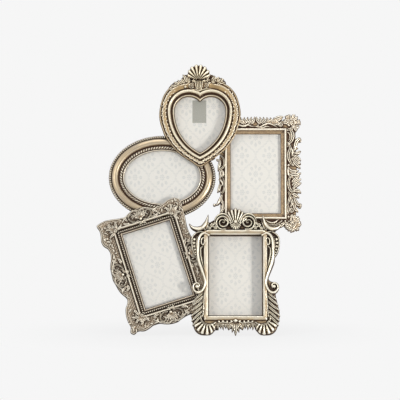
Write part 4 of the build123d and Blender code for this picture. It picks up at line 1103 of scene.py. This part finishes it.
def antique_group():
    """Metallic paint over resin: a dark antiquing wash in the hollows that is also painted shade, and paint
    rubbed bright on what stands proud that is also a painted highlight.
    """
    group, given, out = new_group(
        "antique paint",
        [("Place", "Vector", None), ("Hollow", "Float", 0), ("Proud", "Float", 0),
         ("Paint", "Color", paint(200, 180, 140)), ("Wash And Shade", "Color", paint(70, 45, 28)),
         ("Rubbed And Highlight", "Color", paint(245, 238, 222)), ("Wash And Shade Amount", "Float", 1), ("Rub And Highlight Amount", "Float", 1),
         ("Mottle Size", "Float", 0.012), ("Mottle Amount", "Float", 0.4), ("Metal", "Float", 0.7),
         ("Gloss", "Float", 0.6)],
        [("Color", "Color"), ("Roughness", "Float"), ("Metallic", "Float"), ("Height", "Float")],
    )
    times, plus, less = sums(group)
    cloud = noise(group, given["Place"], work(group, "DIVIDE", 1, given["Mottle Size"]))
    speck = noise(group, given["Place"], work(group, "DIVIDE", 6, given["Mottle Size"]), 4)
    fine = noise(group, given["Place"], 2600, 2)
    # Dark wash in the hollows: antiquing, deepened into painted shade.
    wash_and_shade = plus(times(given["Hollow"], given["Wash And Shade Amount"]), times(less(speck, 0.5), 0.5))
    wash_and_shade = soft_step(group, wash_and_shade, 0.02, 0.5)
    # Bright rub on what stands proud: worn paint, and a painted highlight on the ridges.
    rub_and_highlight = times(times(given["Proud"], given["Rub And Highlight Amount"]), plus(0.5, cloud))
    rub_and_highlight = soft_step(group, rub_and_highlight, 0.05, 0.75)
    patch = soft_step(group, cloud, 0.38, 0.66)
    tone = work(group, "MULTIPLY", patch, given["Mottle Amount"], clamp=True)
    aged = blend_colours(group, 0.55, given["Paint"], given["Wash And Shade"])
    colour = blend_colours(group, tone, given["Paint"], aged)
    colour = blend_colours(group, rub_and_highlight, colour, given["Rubbed And Highlight"])
    dull = plus(times(wash_and_shade, 0.35), times(speck, 0.16))
    return handed_out(
        group, out,
        Color=blend_colours(group, wash_and_shade, colour, given["Wash And Shade"]),
        Roughness=work(group, "ADD", less(0.92, given["Gloss"]), dull, clamp=True),
        Metallic=times(given["Metal"], less(1, times(wash_and_shade, 0.8))),
        Height=plus(times(speck, 0.7), times(fine, 0.3)),
    )


def metal_wear_group():
    """Plated or lacquered steel with clouded plating and fine rubbing marks."""
    group, given, out = new_group(
        "metal wear",
        [("Place", "Vector", None), ("Metal", "Color", paint(190, 192, 194)),
         ("Clouded", "Color", paint(140, 142, 146)), ("Cloud Size", "Float", 0.006), ("Rough", "Float", 0.3)],
        [("Color", "Color"), ("Roughness", "Float"), ("Height", "Float")],
    )
    times, plus, less = sums(group)
    scale = work(group, "DIVIDE", 1, given["Cloud Size"])
    cells = put(group, "ShaderNodeTexVoronoi", {"Vector": given["Place"], "Scale": scale}).outputs["Color"]
    spangle = put(group, "ShaderNodeSeparateColor", {0: cells}).outputs[0]
    streak = put(group, "ShaderNodeMapping", {"Vector": given["Place"], "Scale": (3200, 300, 900)}).outputs[0]
    cloud = noise(group, given["Place"], scale, 4)
    share = plus(times(spangle, 0.35), times(cloud, 0.6))
    return handed_out(
        group, out,
        Color=blend_colours(group, share, given["Metal"], given["Clouded"]),
        Roughness=plus(given["Rough"], times(less(cloud, 0.4), 0.4)),
        Height=noise(group, streak, 1.0, 2),
    )


def fibre_group():
    """Pressed board or paper: short fibres, flecks and a faint cloudy press mark."""
    group, given, out = new_group(
        "pressed fibre",
        [("Place", "Vector", None), ("Board", "Color", paint(120, 88, 60)), ("Fleck", "Color", paint(70, 48, 32)),
         ("Fibre Length", "Float", 0.003), ("Fleck Amount", "Float", 0.5)],
        [("Color", "Color"), ("Roughness", "Float"), ("Height", "Float")],
    )
    times, plus, less = sums(group)
    scale = work(group, "DIVIDE", 1, given["Fibre Length"])

    def fibres_along(stretch):
        place = put(group, "ShaderNodeMapping", {"Vector": given["Place"], "Scale": stretch}).outputs[0]
        return noise(group, place, scale, 2)

    fibres = work(group, "MAXIMUM", fibres_along((1, 1, 0.25)), fibres_along((0.25, 1, 1)))
    flecks = times(soft_step(group, fibres, 0.52, 0.72), given["Fleck Amount"])
    cloud = noise(group, given["Place"], times(scale, 0.08), 3)
    share = work(group, "ADD", flecks, times(less(cloud, 0.5), given["Fleck Amount"]), clamp=True)
    return handed_out(
        group, out,
        Color=blend_colours(group, share, given["Board"], given["Fleck"]),
        Roughness=plus(0.72, times(fibres, 0.22)),
        Height=fibres,
    )


def trellis_print_group():
    """Half-drop repeat of a leafy rosette in a scalloped trellis. Gives the share of printed ink."""
    group, given, out = new_group(
        "trellis print", [("Place", "Vector", None), ("Width", "Float", 0.05), ("Height", "Float", 0.068)],
        [("Ink", "Float")],
    )
    times, plus, less = sums(group)

    def size_of(value):
        return work(group, "ABSOLUTE", value)

    def from_middle(axis, repeat, drop):
        """Distance from the middle of the repeat, 0 to 0.5."""
        place = plus(work(group, "DIVIDE", axis, repeat), drop)
        return size_of(less(work(group, "WRAP", place, 1.0, 0.0), 0.5))

    def larger(first, second):
        return work(group, "MAXIMUM", first, second)

    place = put(group, "ShaderNodeSeparateXYZ", {0: given["Place"]}).outputs
    ink = 0.0
    for drop in (0.0, 0.5):
        a = from_middle(place["X"], given["Width"], drop)
        b = from_middle(place["Y"], given["Height"], drop)
        reach = work(group, "SQRT", plus(times(a, a), times(b, b)))
        angle = work(group, "ARCTAN2", b, a)
        # flower of eight petals with a ring round its eye
        petals = plus(times(work(group, "COSINE", times(angle, 8)), 0.02), 0.085)
        flower = soft_step(group, less(petals, reach), 0.0, 0.012)
        flower = times(flower, soft_step(group, size_of(less(reach, 0.036)), 0.004, 0.01))
        # eight pointed leaves round it, each with a vein
        beside = size_of(work(group, "SINE", times(angle, 4)))
        along = work(group, "DIVIDE", less(reach, 0.12), 0.16, clamp=True)
        wide = times(work(group, "SINE", times(along, pi)), 0.85)
        leaves = times(soft_step(group, less(wide, beside), 0.0, 0.12), soft_step(group, beside, 0.04, 0.12))
        # trellis of pointed ovals, scalloped on both sides of a fine line
        climb = times(b, 2 * pi)
        wave = plus(times(work(group, "COSINE", climb), 0.25), 0.25)
        lean = times(work(group, "SINE", climb), 1.57)
        off = work(group, "DIVIDE", size_of(less(a, wave)), work(group, "SQRT", plus(times(lean, lean), 1)))
        edge = plus(times(size_of(work(group, "SINE", times(b, 14 * pi))), 0.02), 0.012)
        band = times(soft_step(group, less(edge, off), 0.0, 0.008), soft_step(group, off, 0.003, 0.007))
        ink = larger(ink, larger(larger(flower, leaves), times(band, 0.8)))
    return handed_out(group, out, Ink=ink)


antique, metal_wear, fibre_board = antique_group(), metal_wear_group(), fibre_group()
trellis_print = trellis_print_group()


def new_finish(name):
    """Material with its nodes, its shader, and every place on the model in metres."""
    material = bpy.data.materials.new(name)
    material.use_nodes = True
    tree = material.node_tree
    surface = tree.nodes["Principled BSDF"]
    place = put(tree, "ShaderNodeTexCoord").outputs["Object"]
    return material, tree, surface, place


def bumped(tree, surface, height, depth, strength=1.0):
    bump = put(tree, "ShaderNodeBump", {"Height": height, "Distance": depth, "Strength": strength})
    tree.links.new(bump.outputs[0], surface.inputs["Normal"])


def shared_effect(tree, group, inputs):
    return put(tree, "ShaderNodeGroup", inputs, node_tree=group).outputs


def worn_finish(name, group, inputs, depth, metallic=0.0, fields=()):
    """Finish made by one shared effect, with marks of some depth in metres. Fields are measures on the mesh."""
    material, tree, surface, place = new_finish(name)
    surface.inputs["Metallic"].default_value = metallic
    inputs = {"Place": place, **inputs}
    for field in fields:
        inputs[field] = put(tree, "ShaderNodeAttribute", attribute_name=field.lower()).outputs["Fac"]
    effect = shared_effect(tree, group, inputs)
    for output, shader_input in (("Color", "Base Color"), ("Roughness", "Roughness"), ("Metallic", "Metallic")):
        if output in effect:
            tree.links.new(effect[output], surface.inputs[shader_input])
    bumped(tree, surface, effect["Height"], depth)
    return material


ANTIQUE_SETTINGS = ("Paint", "Wash And Shade", "Rubbed And Highlight", "Wash And Shade Amount", "Rub And Highlight Amount", "Mottle Size", "Mottle Amount",
                    "Metal", "Gloss")


def antique_finish(name, *settings):
    inputs = dict(zip(ANTIQUE_SETTINGS, settings))
    return worn_finish(name, antique, inputs, 0.0002, fields=("Hollow", "Proud"))


def metal_finish(name, metal, clouded, cloud_size, rough, metallic=1.0):
    inputs = {"Metal": metal, "Clouded": clouded, "Cloud Size": cloud_size, "Rough": rough}
    return worn_finish(name, metal_wear, inputs, 0.00004, metallic)


def board_finish(name, board, fleck, fibre_length, fleck_amount):
    inputs = {"Board": board, "Fleck": fleck, "Fibre Length": fibre_length, "Fleck Amount": fleck_amount}
    return worn_finish(name, fibre_board, inputs, 0.00008)


def in_casting_axes(tree, place, casting):
    """Places in metres across and up from a casting's centre."""
    matrix = on_the_face(casting)
    node = put(tree, "ShaderNodeMapping", {"Vector": place, "Location": matrix.to_translation(),
                                           "Rotation": matrix.to_euler()}, vector_type="TEXTURE")
    return node.outputs[0]


def print_finish(name, casting, label=None):
    """Off-white paper with a pale grey print, and a blank grey label where its four edges are given."""
    material, tree, surface, place = new_finish(name)
    times, plus, _ = sums(tree)
    own = in_casting_axes(tree, place, casting)
    ink = shared_effect(tree, trellis_print, {"Place": own})["Ink"]
    paper = shared_effect(tree, fibre_board, {
        "Place": place, "Board": paint(237, 233, 223), "Fleck": paint(228, 223, 211), "Fibre Length": 0.0012,
        "Fleck Amount": 0.25})
    mottled = times(ink, plus(0.45, noise(tree, place, 180)))
    colour = blend_colours(tree, times(mottled, 0.75), paper["Color"], paint(213, 212, 205))
    if label:
        left, right, low, high = (edge * MM for edge in label)
        axes = put(tree, "ShaderNodeSeparateXYZ", {0: own}).outputs
        across = work(tree, "COMPARE", axes["X"], (left + right) / 2, (right - left) / 2)
        up = work(tree, "COMPARE", axes["Y"], (low + high) / 2, (high - low) / 2)
        colour = blend_colours(tree, times(across, up), colour, paint(168, 166, 154))
    tree.links.new(colour, surface.inputs["Base Color"])
    tree.links.new(paper["Roughness"], surface.inputs["Roughness"])
    bumped(tree, surface, paper["Height"], 0.00002)
    return material


def glass_finish():
    """Clear pane that lets the lamps through to the print."""
    material, tree, surface, place = new_finish("clear_glass")
    surface.inputs["Base Color"].default_value = (1, 1, 1, 1)
    surface.inputs["Roughness"].default_value = 0.02
    surface.inputs["IOR"].default_value = 1.45
    surface.inputs["Transmission Weight"].default_value = 1
    bumped(tree, surface, noise(tree, place, 14, 1), 0.0001, 0.3)
    path = put(tree, "ShaderNodeLightPath").outputs
    open_rays = work(tree, "MAXIMUM", path["Is Shadow Ray"], path["Is Diffuse Ray"])
    clear = put(tree, "ShaderNodeBsdfTransparent").outputs[0]
    mixed = put(tree, "ShaderNodeMixShader", {0: open_rays, 1: surface.outputs[0], 2: clear}).outputs[0]
    tree.links.new(mixed, tree.nodes["Material Output"].inputs["Surface"])
    return material


# Per casting: paint, wash colour that also paints shade, rubbed colour that also paints highlights, wash and rub
# amounts, mottle size and amount, metal and gloss.
casting_finishes = {
    "heart": antique_finish(
        "heart_gilt", paint(186, 158, 114), paint(66, 40, 20), paint(250, 240, 216),
        0.85, 1.0, 0.016, 0.55, 0.75, 0.64),
    "oval": antique_finish(
        "oval_champagne", paint(190, 168, 134), paint(62, 36, 20), paint(252, 246, 230),
        1.15, 0.75, 0.024, 0.6, 0.75, 0.68),
    "leaf": antique_finish(
        "leaf_champagne", paint(188, 162, 126), paint(64, 38, 22), paint(252, 244, 226),
        1.0, 1.1, 0.014, 0.55, 0.72, 0.64),
    "tilted": antique_finish(
        "tilted_pewter", paint(154, 132, 105), paint(56, 40, 27), paint(238, 230, 212),
        1.05, 1.0, 0.012, 0.55, 0.78, 0.62),
    "scroll": antique_finish(
        "scroll_gold", paint(184, 160, 123), paint(58, 37, 22), paint(252, 246, 228),
        1.05, 0.95, 0.015, 0.6, 0.74, 0.66),
}
makers = {"heart": heart_casting, "oval": oval_casting, "leaf": leaf_casting,
          "tilted": tilted_casting, "scroll": scroll_casting}
for name, make in makers.items():
    finished(make(), name, casting_finishes[name])

glass = glass_finish()
panes = {"heart": HEART_PANE, "oval": OVAL_PANE, "leaf": BOX_PANE, "tilted": BOX_PANE, "scroll": BOX_PANE}
for name, line in panes.items():
    glass_pane(name, line, CASTINGS[name]).data.materials.append(glass)

zinc = metal_finish("zinc_plate", paint(196, 199, 202), paint(148, 152, 158), 0.004, 0.3)
screw_steel = metal_finish("screw_steel", paint(206, 200, 184), paint(160, 152, 130), 0.002, 0.26)
black_lacquer = metal_finish("black_lacquer", paint(38, 37, 36), paint(54, 52, 50), 0.008, 0.36, metallic=0.35)
hardboard = board_finish("hardboard", paint(134, 98, 66), paint(88, 60, 40), 0.003, 0.6)
black_paper = board_finish("black_paper", paint(30, 29, 28), paint(52, 50, 48), 0.0016, 0.5)
# Left, right, lower and upper edge of the blank label, in millimetres from the sight's middle
labels = {"heart": (-14, 11.5, 3, 45)}
prints = {name: print_finish(name + "_print", casting, labels.get(name)) for name, casting in CASTINGS.items()}


def finish_of(node):
    """The finish that a piece of the model gets, by its name."""
    if node.endswith("_frame"):
        return casting_finishes[node.removesuffix("_frame")]
    if node.endswith("_glass"):
        return glass
    if node.endswith("_insert"):
        return prints[node.removesuffix("_insert")]
    if node.endswith("_board"):
        return hardboard
    if node == "strut_leg":
        return black_paper
    if node.endswith("screws") or node == "strut_rivets":
        return screw_steel
    return black_lacquer if node.startswith("strut") else zinc


for name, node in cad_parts.items():
    for material_slot in node.material_slots:
        material_slot.material = finish_of(name)


# Studio: pale floor, soft lamps and the camera

PALE = paint(246, 246, 246)
ROOM_LIGHT = 0.42
# Reach in metres over which the floor's shadow fades, and how much of it shows
SHADOW_REACH, SHADOW_SHARE = (0.1, 0.4), 0.1
# Name, place, aim, width, height, watts and colour
LAMPS = [
    ("key_lamp", (1.1, -0.9, 0.1), (0, 0, 0.2), 0.16, 0.2, 9.5, (1.0, 0.985, 0.96)),
    ("fill_lamp", (-1.2, -1.2, 0.8), (0, 0, 0.25), 0.5, 0.9, 6.0, (0.97, 0.985, 1.0)),
    ("top_lamp", (-0.1, -0.4, 1.7), (0, 0, 0.25), 0.8, 0.6, 5.0, (1.0, 1.0, 1.0)),
]
CAMERA_AWAY, CAMERA_RISE = 6.0, radians(3)
CAMERA_AIM = (0.00255, 0.0072, 0.2456)
PICTURE_WIDTH, SENSOR = 0.736, 36


def seen_directly(tree):
    """1 for what the camera, a reflection or a pane looks at."""
    path = put(tree, "ShaderNodeLightPath").outputs
    mirrored_or_through = work(tree, "MAXIMUM", path["Is Glossy Ray"], path["Is Transmission Ray"])
    return work(tree, "MAXIMUM", path["Is Camera Ray"], mirrored_or_through)


def pale_world():
    world = bpy.data.worlds.new("pale_room")
    bpy.context.scene.world = world
    world.use_nodes = True
    tree = world.node_tree
    room = put(tree, "ShaderNodeBackground", {"Color": paint(232, 236, 244), "Strength": ROOM_LIGHT}).outputs[0]
    backdrop = put(tree, "ShaderNodeBackground", {"Color": PALE, "Strength": 1.0}).outputs[0]
    mixed = put(tree, "ShaderNodeMixShader", {0: seen_directly(tree), 1: room, 2: backdrop}).outputs[0]
    tree.links.new(mixed, tree.nodes["World Output"].inputs["Surface"])


def pale_floor():
    """Floor in the backdrop's colour that keeps a faint shadow near the object."""
    shape = bmesh.new()
    bmesh.ops.create_circle(shape, cap_ends=True, radius=6, segments=64)
    mesh = bpy.data.meshes.new("floor")
    shape.to_mesh(mesh)
    shape.free()
    floor = added("floor", mesh)
    material, tree, surface, place = new_finish("floor_pale")
    times, _, less = sums(tree)
    surface.inputs["Base Color"].default_value = PALE
    surface.inputs["Roughness"].default_value = 0.9
    glow = put(tree, "ShaderNodeEmission", {"Color": PALE}).outputs[0]
    reach = put(tree, "ShaderNodeVectorMath", {0: place}, operation="LENGTH").outputs["Value"]
    shadowed = times(less(1, soft_step(tree, reach, *SHADOW_REACH)), SHADOW_SHARE)
    lit = work(tree, "ADD", less(1, seen_directly(tree)), shadowed, clamp=True)
    mixed = put(tree, "ShaderNodeMixShader", {0: lit, 1: glow, 2: surface.outputs[0]}).outputs[0]
    tree.links.new(mixed, tree.nodes["Material Output"].inputs["Surface"])
    floor.data.materials.append(material)


def soft_lamp(name, spot, aim, width, height, power, colour):
    light = bpy.data.lights.new(name, "AREA")
    light.shape, light.size, light.size_y = "RECTANGLE", width, height
    light.energy, light.color = power, colour
    facing(bpy.data.objects.new(name, light), spot, aim)


def facing(thing, spot, aim):
    """Puts a lamp or the camera in its place and turns it to its aim."""
    bpy.context.scene.collection.objects.link(thing)
    thing.rotation_euler = (Vector(aim) - Vector(spot)).to_track_quat("-Z", "Y").to_euler()
    thing.location = spot


def camera_at_the_photograph():
    """Long lens a little above the frame."""
    lens = bpy.data.cameras.new("camera")
    lens.sensor_width = SENSOR
    lens.lens = SENSOR * CAMERA_AWAY / PICTURE_WIDTH
    lens.clip_end = 30
    camera = bpy.data.objects.new("camera", lens)
    back, up = CAMERA_AWAY * cos(CAMERA_RISE), CAMERA_AWAY * sin(CAMERA_RISE)
    facing(camera, (CAMERA_AIM[0], CAMERA_AIM[1] - back, CAMERA_AIM[2] + up), CAMERA_AIM)
    bpy.context.scene.camera = camera


pale_world()
pale_floor()
for lamp in LAMPS:
    soft_lamp(*lamp)
camera_at_the_photograph()
bpy.context.scene.view_settings.view_transform = "Standard"
